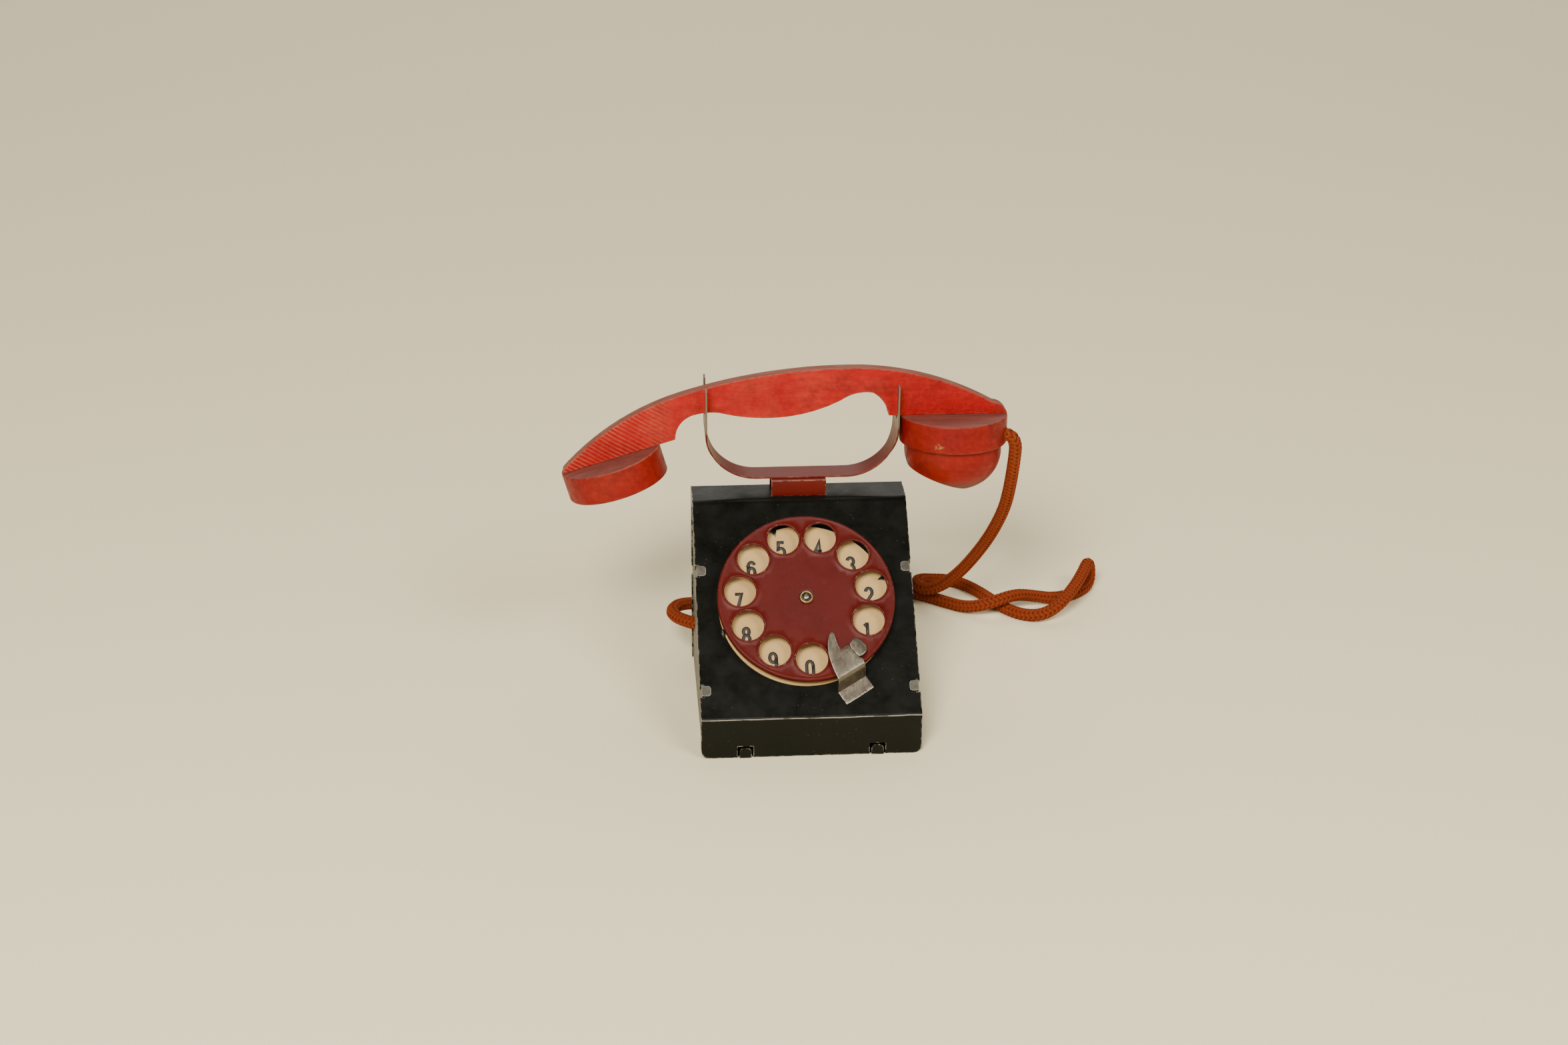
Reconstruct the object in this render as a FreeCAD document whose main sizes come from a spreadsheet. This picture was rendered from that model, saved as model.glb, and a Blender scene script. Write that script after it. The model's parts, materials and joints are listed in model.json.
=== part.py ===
import FreeCAD, Part
import math
import os
import re
import Sketcher

# A tin toy telephone: a bent sheet body with a finger dial, a forked cradle, a wooden handset and a
# braided cord.  Millimetres.  The origin is at the middle of the base, on the surface that the
# telephone stands on.  +X runs along the handset, -Y is the front, +Z is up.

Vector = FreeCAD.Vector

SIZES = [
    # tin body
    ("body_width", 81.0), ("body_depth", 82.4), ("body_height", 72.4), ("skirt_height", 16.1),
    ("top_depth", 14.9), ("shell_sheet", 0.5), ("flange_width", 4.5), ("top_bend_radius", 5.0),
    ("edge_bend_radius", 1.6), ("sheet_gap", 0.05), ("panel_sheet", 0.4),
    # tabs that close the sheets over each other
    ("tab_width", 4.0), ("tab_reach", 3.5), ("tab_round", 1.2), ("tab_clearance", 0.4), ("low_tab_place", 11.3),
    ("high_tab_place", 59.1), ("back_notch_low", 34.4), ("back_notch_high", 40.0),
    ("base_tab_spread", 24.3), ("base_tab_width", 4.6), ("base_tab_height", 4.2),
    ("base_tab_round", 1.9), ("base_notch_width", 5.8), ("skirt_corner", 3.0),
    # dial
    ("dial_place", 45.4), ("dial_radius", 33.0), ("dial_sheet", 0.6), ("dial_stand", 4.9),
    ("rim_depth", 1.4), ("rim_width", 1.1), ("finger_hole_radius", 5.9), ("finger_circle", 24.6),
    ("finger_start", -23.5), ("finger_step", 32.8), ("finger_ring_width", 1.2),
    ("finger_ring_height", 0.35), ("card_radius", 32.0), ("card_sheet", 0.7), ("card_shift", -0.5),
    ("card_drop", 1.2), ("prong_length", 2.6), ("prong_width", 2.6), ("prong_turn", 18.5),
    ("spindle_radius", 1.6), ("running_gap", 0.06), ("spindle_tail", 12.0), ("spindle_head", 0.8),
    ("spacer_radius", 4.5), ("moving_gap", 0.3), ("eyelet_radius", 2.6),
    ("eyelet_height", 0.6), ("washer_radius", 3.4), ("washer_sheet", 0.6), ("washer_place", 1.0),
    # finger stop
    ("stop_place", 44.7), ("stop_sheet", 0.8), ("stop_stand", 6.8), ("stop_ear_rise", 0.5),
    # bell works
    ("click_radius", 5.6), ("click_tooth", 1.8), ("click_sheet", 1.2), ("click_place", 8.6),
    ("gong_radius", 14.0), ("gong_height", 9.0), ("gong_sheet", 0.8), ("gong_side", 22.0), ("gong_crown", 4.0),
    ("gong_bow", 10.5),
    ("gong_forward", 6.0), ("gong_top", 16.0), ("post_radius", 2.0), ("screw_radius", 3.2),
    ("screw_height", 1.8), ("hammer_forward", 7.6), ("hammer_pivot_height", 24.0),
    ("hammer_width", 4.0), ("hammer_sheet", 0.8), ("hammer_ball_radius", 2.6),
    ("hammer_ball_height", 10.5), ("hammer_top", 32.4), ("pivot_radius", 1.0),
    ("stand_width", 8.0), ("stand_sheet", 0.8), ("stand_gap", 3.2), ("stand_foot", 6.0),
    # cradle
    ("bracket_width", 20.8), ("bracket_front", 29.7), ("bracket_back", 40.4), ("bracket_rise", 6.1),
    ("bracket_sheet", 0.6), ("bracket_foot", 3.6), ("slot_clearance", 0.2), ("yoke_sheet", 0.7),
    ("yoke_left", 35.4), ("yoke_right", 37.5), ("yoke_corner_radius", 19.5), ("yoke_middle", 36.6),
    ("yoke_strip_width", 9.6), ("yoke_fork_width", 18.0), ("yoke_flare_start", 88.0),
    ("yoke_flare_end", 99.0), ("yoke_tip_height", 116.4), ("fork_slot_width", 10.4),
    # handset
    ("board_sheet", 6.0), ("board_height", 109.6), ("board_place", 36.8), ("board_lean", 7.0),
    ("board_left", 88.9), ("board_right", 79.0), ("board_crown", 11.7), ("seat_level", 7.0),
    ("earpiece_radius", 19.25), ("earpiece_thick", 11.2), ("earpiece_tilt", 16.4),
    ("earpiece_place", 71.0), ("earpiece_drop", 21.93), ("mouth_place", 58.8),
    ("collar_radius", 20.4), ("collar_thick", 10.8), ("cup_radius", 18.4), ("cup_short_side", 8.7),
    ("cup_tilt", 20.0), ("cup_depth", 18.2), ("cup_round", 15.0), ("nail_radius", 0.8), ("nail_length", 15.0),
    ("nail_spread", 16.0),
    # cord
    ("cord_diameter", 4.6), ("cord_bore_gap", 0.3), ("cord_bore_depth", 6.0),
    ("cord_hole_radius", 3.6), ("cord_hole_place", 27.4), ("cord_hole_height", 19.4),
    ("knot_radius", 4.3),
]

doc = FreeCAD.newDocument("toy_telephone")
sizes = doc.addObject("Spreadsheet::Sheet", "Sizes")
for row, (alias, value) in enumerate(SIZES, start=1):
    cell = "B%d" % row
    sizes.set("A%d" % row, alias)
    sizes.set(cell, str(value))
    sizes.setAlias(cell, alias)
doc.recompute()

# Angle of the sloping face above the horizontal.
SLOPE = "atan((body_height - skirt_height) / (body_depth - top_depth))"


def cells(text):
    """An expression in which each size's alias points at its cell in the sheet."""
    return re.sub(r"\b([a-z]+(?:_[a-z]+)+)\b", r"Sizes.\1", str(text))


def number(text):
    """The value that an expression has now."""
    found = sizes.evalExpression(cells(text))
    return float(getattr(found, "Value", found))


def bind(thing, **expressions):
    """Ties properties of an object to expressions of the sizes."""
    for name, text in expressions.items():
        thing.setExpression(name, cells(text))


def on_face(across, along, out):
    """Place on the sloping face: across it, up it from the skirt bend, and out of it."""
    y = "-body_depth / 2 + (%s) * cos(%s) - (%s) * sin(%s)" % (along, SLOPE, out, SLOPE)
    z = "skirt_height + (%s) * sin(%s) + (%s) * cos(%s)" % (along, SLOPE, out, SLOPE)
    return (str(across), y, z)


def place(thing, at, axis=(1, 0, 0), angle="0"):
    """Puts an object at a point, turned about an axis, both tied to the sizes."""
    base = Vector(*[number(text) for text in at])
    thing.Placement = FreeCAD.Placement(base, FreeCAD.Rotation(Vector(*axis), number(angle)))
    for letter, text in zip("xyz", at):
        thing.setExpression("Placement.Base." + letter, cells(text))
    if angle != "0":
        thing.setExpression("Placement.Rotation.Angle", cells(angle))
    return thing


def new_body(name):
    body = doc.addObject("PartDesign::Body", name)
    body.Label = name
    return body


def new_sketch(body, name, role="XY_Plane", offset="0"):
    """A sketch on one of the body's own origin planes, or at an offset from it."""
    plane = [item for item in body.Origin.OriginFeatures if item.Role == role][0]
    sketch = body.newObject("Sketcher::SketchObject", name)
    sketch.AttachmentSupport = (plane, [""])
    sketch.MapMode = "FlatFace"
    if offset != "0":
        sketch.setExpression("AttachmentOffset.Base.z", cells(offset))
    return sketch


def pin_point(sketch, edge, end, x, y):
    """Holds one point of a sketch at two expressions."""
    for kind, text in (("DistanceX", x), ("DistanceY", y)):
        rule = Sketcher.Constraint(kind, -1, 1, edge, end, number(text))
        index = sketch.addConstraint(rule)
        sketch.setExpression("Constraints[%d]" % index, cells(text))


def arc_between(start, finish, radius, side):
    """Arc from start to finish; side +1 keeps its centre on the left of that direction."""
    chord = finish - start
    half = chord.Length / 2
    normal = Vector(-chord.y, chord.x, 0)
    normal.normalize()
    height = math.sqrt(max(radius ** 2 - half ** 2, 0.0))
    centre = (start + finish) / 2 + normal * (side * height)
    first = math.atan2(start.y - centre.y, start.x - centre.x)
    last = math.atan2(finish.y - centre.y, finish.x - centre.x)
    if side < 0:
        first, last = last, first
    circle = Part.Circle(centre, Vector(0, 0, 1), radius)
    return Part.ArcOfCircle(circle, first, last)


def outline(sketch, corners):
    """Closed outline.  A corner is (x, y), or (x, y, radius, side) where an arc arrives at it."""
    first = sketch.GeometryCount
    points = [Vector(number(corner[0]), number(corner[1]), 0) for corner in corners]
    ends = []
    for index, corner in enumerate(corners):
        start = points[index - 1]
        if len(corner) == 2:
            sketch.addGeometry(Part.LineSegment(start, points[index]))
            ends.append((1, 2))
            continue
        radius, side = corner[2], corner[3]
        edge = sketch.addGeometry(arc_between(start, points[index], number(radius), side))
        ends.append((1, 2) if side > 0 else (2, 1))
        rule = sketch.addConstraint(Sketcher.Constraint("Radius", edge, number(radius)))
        sketch.setExpression("Constraints[%d]" % rule, cells(radius))
    count = len(corners)
    for index in range(count):
        after = (index + 1) % count
        joint = (first + index, ends[index][1], first + after, ends[after][0])
        sketch.addConstraint(Sketcher.Constraint("Coincident", *joint))
    for index, corner in enumerate(corners):
        pin_point(sketch, first + index, ends[index][1], corner[0], corner[1])
    return sketch


def box_outline(sketch, left, low, right, high):
    return outline(sketch, [(right, low), (right, high), (left, high), (left, low)])


def circle(sketch, x, y, radius):
    centre = Vector(number(x), number(y), 0)
    edge = sketch.addGeometry(Part.Circle(centre, Vector(0, 0, 1), number(radius)))
    pin_point(sketch, edge, 3, x, y)
    rule = sketch.addConstraint(Sketcher.Constraint("Radius", edge, number(radius)))
    sketch.setExpression("Constraints[%d]" % rule, cells(radius))
    return sketch


def pad(body, sketch, length, both_ways=False, backwards=False):
    feature = body.newObject("PartDesign::Pad", sketch.Name + "_pad")
    feature.Profile = sketch
    feature.Midplane = both_ways
    feature.Reversed = backwards
    bind(feature, Length=length)
    doc.recompute()
    return feature


def pocket(body, sketch, length=None, both_ways=False, backwards=False):
    """Cuts a sketch out of the body, right through when no length is given."""
    before = body.Shape.Volume
    feature = body.newObject("PartDesign::Pocket", sketch.Name + "_pocket")
    feature.Profile = sketch
    feature.Midplane = both_ways
    feature.Reversed = backwards
    if length is None:
        feature.Type = 1
    else:
        bind(feature, Length=length)
    doc.recompute()
    if body.Shape.Volume > before - 1e-6:
        raise RuntimeError("%s cut nothing" % feature.Name)
    return feature


def polar_pattern(body, features, count, angle):
    feature = body.newObject("PartDesign::PolarPattern", features[0].Name + "_pattern")
    feature.Originals = features
    axis = [item for item in body.Origin.OriginFeatures if item.Role == "Z_Axis"][0]
    feature.Axis = (axis, [""])
    feature.Occurrences = count
    bind(feature, Angle=angle)
    body.Tip = feature
    doc.recompute()
    return feature


def fillet_where(body, base, radius, chosen):
    """Rounds the edges of a feature for which chosen(edge) is true."""
    names = ["Edge%d" % (index + 1) for index, edge in enumerate(base.Shape.Edges) if chosen(edge)]
    feature = body.newObject("PartDesign::Fillet", base.Name + "_round")
    feature.Base = (base, names)
    bind(feature, Radius=radius)
    doc.recompute()
    return feature


def box(name, length, width, height, at, angle="0"):
    """A block from its low corner, turned about X at that corner."""
    block = doc.addObject("Part::Box", name)
    bind(block, Length=length, Width=width, Height=height)
    return place(block, at, (1, 0, 0), angle)


def cylinder(name, radius, height, at, axis=(1, 0, 0), angle="0"):
    rod = doc.addObject("Part::Cylinder", name)
    bind(rod, Radius=radius, Height=height)
    return place(rod, at, axis, angle)


def sphere(name, radius, at):
    ball = doc.addObject("Part::Sphere", name)
    bind(ball, Radius=radius)
    return place(ball, at)


def fused(name, *things):
    whole = doc.addObject("Part::MultiFuse", name)
    whole.Shapes = list(things)
    whole.Label = name
    doc.recompute()
    return whole


def carried(name, thing):
    """Holds one piece so that it can be moved as a whole, in a frame of its own."""
    whole = doc.addObject("Part::Compound", name)
    whole.Links = [thing]
    whole.Label = name
    doc.recompute()
    return whole


def cut(name, base, tool):
    rest = doc.addObject("Part::Cut", name)
    rest.Base = base
    rest.Tool = tool
    rest.Label = name
    doc.recompute()
    if rest.Shape.Volume > base.Shape.Volume - 1e-6:
        raise RuntimeError("%s cut nothing" % name)
    return rest


def ring(name, outer, inner, low, height):
    """A flat ring or tube about the body's own Z axis."""
    body = new_body(name)
    sketch = new_sketch(body, name + "_ring", offset=low)
    circle(sketch, "0", "0", outer)
    circle(sketch, "0", "0", inner)
    pad(body, sketch, height)
    return body


def at_dial(thing):
    """Stands a piece that is drawn about the dial's axis on the sloping face."""
    return place(thing, on_face("0", "dial_place", "0"), (1, 0, 0), SLOPE)


def at_card(thing):
    """Stands a piece that is drawn about the card's middle; the card sits low and a little left."""
    return place(thing, on_face("card_shift", "dial_place - card_drop", "0"), (1, 0, 0), SLOPE)


parts = []

# ---------------------------------------------------------------- tin body

FRONT = "-body_depth / 2"
BACK = "body_depth / 2"
SIDE = "body_width / 2"


def side_profile(sketch, inset, foot):
    """Side view of the body, moved in from the outer faces by an inset, down to a foot level."""
    low_corner = "skirt_height + (%s) * (tan(%s) - 1 / cos(%s))" % (inset, SLOPE, SLOPE)
    reach = "(body_height - (%s) - skirt_height + (%s) / cos(%s)) / tan(%s)" % (
        inset, inset, SLOPE, SLOPE)
    return outline(sketch, [
        ("%s + (%s)" % (FRONT, inset), foot),
        ("%s + (%s)" % (FRONT, inset), low_corner),
        ("%s + %s" % (FRONT, reach), "body_height - (%s)" % inset),
        ("%s - (%s)" % (BACK, inset), "body_height - (%s)" % inset),
        ("%s - (%s)" % (BACK, inset), foot),
    ])


def shell_blank():
    """One sheet bent into skirt, sloping face, top and back, with narrow flanges on both sides."""
    body = new_body("shell_blank")
    sketch = side_profile(new_sketch(body, "shell_side", "YZ_Plane"), "0", "0")
    solid = pad(body, sketch, "body_width", both_ways=True)
    top = number("body_height")
    bend = number("%s + body_depth - top_depth" % FRONT)

    def is_cross_edge(edge, y, z):
        middle = edge.BoundBox.Center
        return edge.BoundBox.XLength > 1 and abs(middle.y - y) < 0.01 and abs(middle.z - z) < 0.01

    solid = fillet_where(body, solid, "top_bend_radius", lambda edge: is_cross_edge(edge, bend, top))
    corners = [(number(BACK), top), (number(FRONT), number("skirt_height"))]
    solid = fillet_where(body, solid, "edge_bend_radius", lambda edge: any(
        is_cross_edge(edge, y, z) for y, z in corners))
    under = [index for index, face in enumerate(solid.Shape.Faces)
             if abs(face.BoundBox.ZMax) < 0.01][0]
    hollow = body.newObject("PartDesign::Thickness", "shell_hollow")
    hollow.Base = (solid, ["Face%d" % (under + 1)])
    hollow.Reversed = True
    bind(hollow, Value="shell_sheet")
    doc.recompute()
    window = side_profile(new_sketch(body, "shell_window", "YZ_Plane"), "flange_width", "-1")
    pocket(body, window, both_ways=True)
    return body


def skirt_corner(side):
    """What is snipped off one lower corner of the skirt to round it."""
    body = new_body("skirt_corner_%d" % (side + 2))
    edge = "%d * (%s)" % (side, SIDE)
    pad(body, outline(new_sketch(body, body.Name + "_outline", "XZ_Plane", "-(%s) + 1" % FRONT), [
        ("%d * (%s - skirt_corner)" % (side, SIDE), "0", "skirt_corner", -side),
        ("%d * (%s - skirt_corner)" % (side, SIDE), "-1"),
        ("%d * (%s + 1)" % (side, SIDE), "-1"),
        ("%d * (%s + 1)" % (side, SIDE), "skirt_corner"),
        (edge, "skirt_corner"),
    ]), "flange_width + 2", backwards=True)
    return body


def card_prongs():
    """Small teeth cut up from the sloping face and pressed over the card; the stop holds its foot."""
    body = new_body("card_prongs")
    hold = "card_sheet + 2 * sheet_gap"
    tooth = outline(new_sketch(body, "prong_tooth", offset=hold), [
        ("card_radius + sheet_gap", "-prong_width / 2"),
        ("card_radius + sheet_gap + shell_sheet", "-prong_width / 2"),
        ("card_radius + sheet_gap + shell_sheet", "prong_width / 2"),
        ("card_radius + sheet_gap", "prong_width / 2"),
        ("card_radius - prong_length", "0"),
    ])
    top = pad(body, tooth, "shell_sheet")
    stem = box_outline(new_sketch(body, "prong_stem"), "card_radius + sheet_gap",
                       "-prong_width / 2", "card_radius + sheet_gap + shell_sheet",
                       "prong_width / 2")
    leg = pad(body, stem, hold)
    polar_pattern(body, [top, leg], 3, "180")
    place(body, ("0", "0", "0"), (0, 0, 1), "prong_turn * 1 deg")
    return at_card(carried("card_prong_set", body))


def panel_plane(side):
    """Outer face of a side panel, just inside the flange."""
    return "%d * (%s - shell_sheet - sheet_gap)" % (side, SIDE)


def low_x(side, inner, outer):
    """The lower of two distances from the middle plane, on one side of the body."""
    return inner if side > 0 else "-(%s)" % outer


def shell_openings():
    """Everything that is cut out of the bent sheet."""
    tools = []
    through = "flange_width + 2"
    for side in (-1, 1):
        edge = low_x(side, "%s - 2 * shell_sheet - panel_sheet" % SIDE, "%s + 1" % SIDE)
        for name in ("low_tab_place", "high_tab_place"):
            start = "%s - tab_width / 2 - tab_clearance" % name
            tools.append(box("tab_notch_%d" % len(tools), "2 * shell_sheet + panel_sheet + 1",
                             "tab_width + 2 * tab_clearance", through,
                             on_face(edge, start, "1 - (%s)" % through), SLOPE))
        outside = low_x(side, "%s - shell_sheet - sheet_gap / 2" % SIDE, "%s + 1" % SIDE)
        tools.append(box("back_notch_%d" % len(tools), "shell_sheet + sheet_gap / 2 + 1",
                         "flange_width + 1", "back_notch_high - back_notch_low",
                         (outside, "%s - flange_width - 0.5" % BACK, "back_notch_low")))
        tools.append(skirt_corner(side))
        middle = "%d * base_tab_spread - base_notch_width / 2" % side
        tools.append(box("base_notch_%d" % len(tools), "base_notch_width", "4 * shell_sheet",
                         "base_tab_height + tab_clearance + 1",
                         (middle, "%s - 2 * shell_sheet" % FRONT, "-1")))
    for name in ("bracket_front", "bracket_back - bracket_sheet"):
        tools.append(box("cradle_slot_%d" % len(tools), "bracket_width + 2 * slot_clearance",
                         "bracket_sheet + 2 * slot_clearance", "2 * shell_sheet + 1",
                         ("-bracket_width / 2 - slot_clearance", "%s - slot_clearance" % name,
                          "body_height - 2 * shell_sheet")))
    tools.append(cylinder("spindle_hole", "spindle_radius + running_gap", "4",
                          on_face("0", "dial_place", "-2"), (1, 0, 0), SLOPE))
    return fused("shell_openings", *tools)


def make_shell():
    bent = fused("bent_sheet", shell_blank(), card_prongs())
    return cut("body_shell", bent, shell_openings())


parts.append(make_shell())


def folded_tab(label, side, along):
    """Tab of a side panel, folded flat over the sloping face, with rounded corners."""
    body = new_body(label)
    toward = -side
    end = "%d * tab_reach" % toward
    shoulder = "%d * (tab_reach - tab_round)" % toward
    pad(body, outline(new_sketch(body, label + "_outline"), [
        ("0", "-tab_width / 2"),
        (shoulder, "-tab_width / 2"),
        (end, "-tab_width / 2 + tab_round", "tab_round", toward),
        (end, "tab_width / 2 - tab_round"),
        (shoulder, "tab_width / 2", "tab_round", toward),
        ("0", "tab_width / 2"),
    ]), "panel_sheet")
    return place(body, on_face(panel_plane(side), along, "sheet_gap"), (1, 0, 0), SLOPE)


def make_side_panel(label, side):
    """Bright side plate inside the flanges, with two tabs folded over the sloping face."""
    body = new_body(label + "_plate")
    outer = panel_plane(side)
    start = outer if side < 0 else "%s - panel_sheet" % outer
    inset = "shell_sheet + sheet_gap"
    sketch = side_profile(new_sketch(body, label + "_side", "YZ_Plane", start), inset,
                          "panel_sheet + 2 * sheet_gap")
    plate = pad(body, sketch, "panel_sheet")
    skirt = number("skirt_height - 1")
    fillet_where(body, plate, "top_bend_radius", lambda edge: edge.BoundBox.ZLength < 0.01
                 and edge.BoundBox.YLength < 0.01 and edge.BoundBox.ZMax > skirt)
    pieces = [body]
    rim = "%s - shell_sheet - sheet_gap" % SIDE
    for name in ("low_tab_place", "high_tab_place"):
        first = "%s - tab_width / 2" % name
        count = len(pieces)
        pieces.append(box("%s_riser_%d" % (label, count), "panel_sheet", "tab_width",
                          "4 * shell_sheet + sheet_gap + panel_sheet",
                          on_face(low_x(side, "%s - panel_sheet" % rim, rim), first,
                                  "-4 * shell_sheet"), SLOPE))
        pieces.append(folded_tab("%s_fold_%d" % (label, count), side, name))
    # The corner behind the rounded skirt corner is snipped too, so that it doesn't show.
    snip = box(label + "_snip", "4", "flange_width", "skirt_corner + 1",
               (low_x(side, "%s - 3" % SIDE, "%s + 1" % SIDE), "%s - 1" % FRONT, "-1"))
    if side > 0:
        return cut(label, fused(label + "_whole", *pieces), snip)
    plain = cut(label + "_uncut", fused(label + "_whole", *pieces), snip)
    hole = cylinder("cord_hole", "cord_hole_radius", "4",
                    ("-(%s) - 2" % SIDE, "cord_hole_place", "cord_hole_height"), (0, 1, 0), "90")
    return cut(label, plain, hole)


parts.append(make_side_panel("side_panel_left", -1))
parts.append(make_side_panel("side_panel_right", 1))


def make_bottom_plate():
    """Flat tin plate inside the walls, with two rounded tabs turned up over the skirt."""
    body = new_body("bottom_plate")
    wall = "(shell_sheet + sheet_gap)"
    plate = box_outline(new_sketch(body, "plate_outline"), "-(%s) + %s" % (SIDE, wall),
                        "%s + %s" % (FRONT, wall), "%s - %s" % (SIDE, wall),
                        "%s - %s" % (BACK, wall))
    slab = pad(body, plate, "panel_sheet")
    fillet_where(body, slab, "skirt_corner",
                 lambda edge: edge.BoundBox.ZLength > 0.1 and edge.BoundBox.YMax < 0)
    lip = "%s - sheet_gap - panel_sheet" % FRONT
    for side in (-1, 1):
        left = "%d * base_tab_spread - base_tab_width / 2" % side
        right = "%d * base_tab_spread + base_tab_width / 2" % side
        tongue = box_outline(new_sketch(body, "tongue_%d" % (side + 2)), left, lip, right,
                             "%s + %s + 1" % (FRONT, wall))
        pad(body, tongue, "panel_sheet")
        # The lip is drawn in the front view; its sketch plane looks along -Y.
        turned = outline(new_sketch(body, "lip_%d" % (side + 2), "XZ_Plane", "-(%s)" % lip), [
            (right, "0"),
            (right, "base_tab_height - base_tab_round"),
            (right + " - base_tab_round", "base_tab_height", "base_tab_round", 1),
            (left + " + base_tab_round", "base_tab_height"),
            (left, "base_tab_height - base_tab_round", "base_tab_round", 1),
            (left, "0"),
        ])
        pad(body, turned, "panel_sheet", backwards=True)
    return body


parts.append(make_bottom_plate())

# ---------------------------------------------------------------- dial

DISC_TOP = "(dial_stand + dial_sheet)"
BORE = "(spindle_radius + running_gap)"



def make_number_card():
    """Printed card under the dial, with a corner cut away for the foot of the finger stop."""
    body = new_body("number_card")
    sheet = new_sketch(body, "card_outline", offset="sheet_gap")
    circle(sheet, "card_shift", "-card_drop", "card_radius")
    circle(sheet, "0", "0", "spindle_radius + 0.6")
    pad(body, sheet, "card_sheet")
    corner = outline(new_sketch(body, "card_corner", offset="-1"), [
        ("card_radius", "-26"),
        ("card_radius", "-card_radius - 10"),
        ("8.4", "-card_radius - 10"),
        ("8.4", "-33"),
        ("18.6", "-26"),
    ])
    pocket(body, corner, "card_sheet + 3", backwards=True)
    return at_dial(body)


parts.append(make_number_card())
parts.append(at_dial(ring("dial_spacer", "spacer_radius", BORE, "card_sheet + 2 * sheet_gap",
                          "dial_stand - moving_gap - card_sheet - 2 * sheet_gap")))


def make_dial_wheel():
    """Pressed disc with a turned-down rim and ten finger holes with raised rings."""
    body = new_body("dial_wheel")
    disc = new_sketch(body, "disc_outline", offset="dial_stand")
    circle(disc, "0", "0", "dial_radius")
    circle(disc, "0", "0", BORE)
    solid = pad(body, disc, "dial_sheet")
    edge = number("dial_radius")
    high = number(DISC_TOP)
    fillet_where(body, solid, "dial_sheet * 0.8", lambda rim: abs(
        rim.BoundBox.XLength - 2 * edge) < 0.01 and abs(rim.BoundBox.ZMax - high) < 0.01)
    rim = new_sketch(body, "rim_outline", offset="dial_stand - rim_depth")
    circle(rim, "0", "0", "dial_radius")
    circle(rim, "0", "0", "dial_radius - rim_width")
    pad(body, rim, "rim_depth + dial_sheet * 0.2")
    x = "finger_circle * cos(finger_start * 1 deg)"
    y = "finger_circle * sin(finger_start * 1 deg)"
    raised = new_sketch(body, "ring_outline", offset="%s - dial_sheet / 2" % DISC_TOP)
    circle(raised, x, y, "finger_hole_radius + finger_ring_width")
    bead = pad(body, raised, "dial_sheet / 2 + finger_ring_height")
    polar_pattern(body, [bead], 10, "9 * finger_step")
    opening = new_sketch(body, "hole_outline", offset="dial_stand - 1")
    circle(opening, x, y, "finger_hole_radius")
    hole = pocket(body, opening, "dial_sheet + finger_ring_height + 3", backwards=True)
    polar_pattern(body, [hole], 10, "9 * finger_step")
    return at_dial(body)


parts.append(make_dial_wheel())
parts.append(at_dial(ring("dial_eyelet", "eyelet_radius", BORE, DISC_TOP, "eyelet_height")))


def make_spindle():
    body = new_body("dial_spindle")
    sketch = new_sketch(body, "spindle_section", offset="-spindle_tail")
    circle(sketch, "0", "0", "spindle_radius")
    pad(body, sketch, "spindle_tail + %s + spindle_head" % DISC_TOP)
    return at_dial(body)


parts.append(make_spindle())
parts.append(at_dial(ring("spindle_washer", "washer_radius", BORE,
                          "-washer_place - washer_sheet", "washer_sheet")))


def make_click_wheel():
    """Star wheel on the spindle inside the body; its teeth flick the hammer."""
    body = new_body("click_wheel")
    low = "-click_place - click_sheet"
    hub = new_sketch(body, "click_hub", offset=low)
    circle(hub, "0", "0", "click_radius")
    circle(hub, "0", "0", BORE)
    pad(body, hub, "click_sheet")
    tooth = outline(new_sketch(body, "click_tooth_outline", offset=low), [
        ("-click_tooth", "-(click_radius - 0.5)"),
        ("0", "-(click_radius + click_tooth)"),
        ("click_tooth", "-(click_radius - 0.5)"),
    ])
    polar_pattern(body, [pad(body, tooth, "click_sheet")], 8, "360")
    return at_dial(body)


parts.append(make_click_wheel())


def make_finger_stop():
    """Steel strip: foot on the face, a step, and a plate over the dial with a horn and an ear."""
    body = new_body("finger_stop")
    plate = outline(new_sketch(body, "stop_plate", offset="stop_stand"), [
        ("19.6", "-27.2"),
        ("19.3", "-25.3"),
        ("17.6", "-24.5"),
        ("14.0", "-19.8"),
        ("11.1", "-21.4"),
        ("8.6", "-14.9", "11", -1),
        ("7.2", "-14.4", "0.8", 1),
        ("9.9", "-33.4", "22", 1),
    ])
    pad(body, plate, "stop_sheet")
    ear = outline(new_sketch(body, "stop_ear", offset="stop_stand + stop_ear_rise"), [
        ("17.6", "-24.5"),
        ("20.4", "-23.0"),
        ("16.8", "-18.0", "3.6", 1),
        ("14.0", "-19.8"),
    ])
    pad(body, ear, "stop_sheet")
    foot = outline(new_sketch(body, "stop_foot", offset="sheet_gap"), [
        ("20.4", "-28.9"),
        ("23.2", "-33.8"),
        ("12.8", "-40.4"),
        ("9.9", "-34.9"),
    ])
    pad(body, foot, "stop_sheet")
    step = outline(new_sketch(body, "stop_step", offset="sheet_gap"), [
        ("19.6", "-27.2"),
        ("20.4", "-28.9"),
        ("9.9", "-34.9"),
        ("9.5", "-33.5"),
    ])
    pad(body, step, "stop_stand + stop_sheet - sheet_gap")
    return place(body, on_face("0", "stop_place", "0"), (1, 0, 0), SLOPE)


parts.append(make_finger_stop())

# ---------------------------------------------------------------- bell works

FLOOR = "(panel_sheet + sheet_gap)"
GONG_AT = ("gong_side", "-gong_forward", "0")


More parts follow.
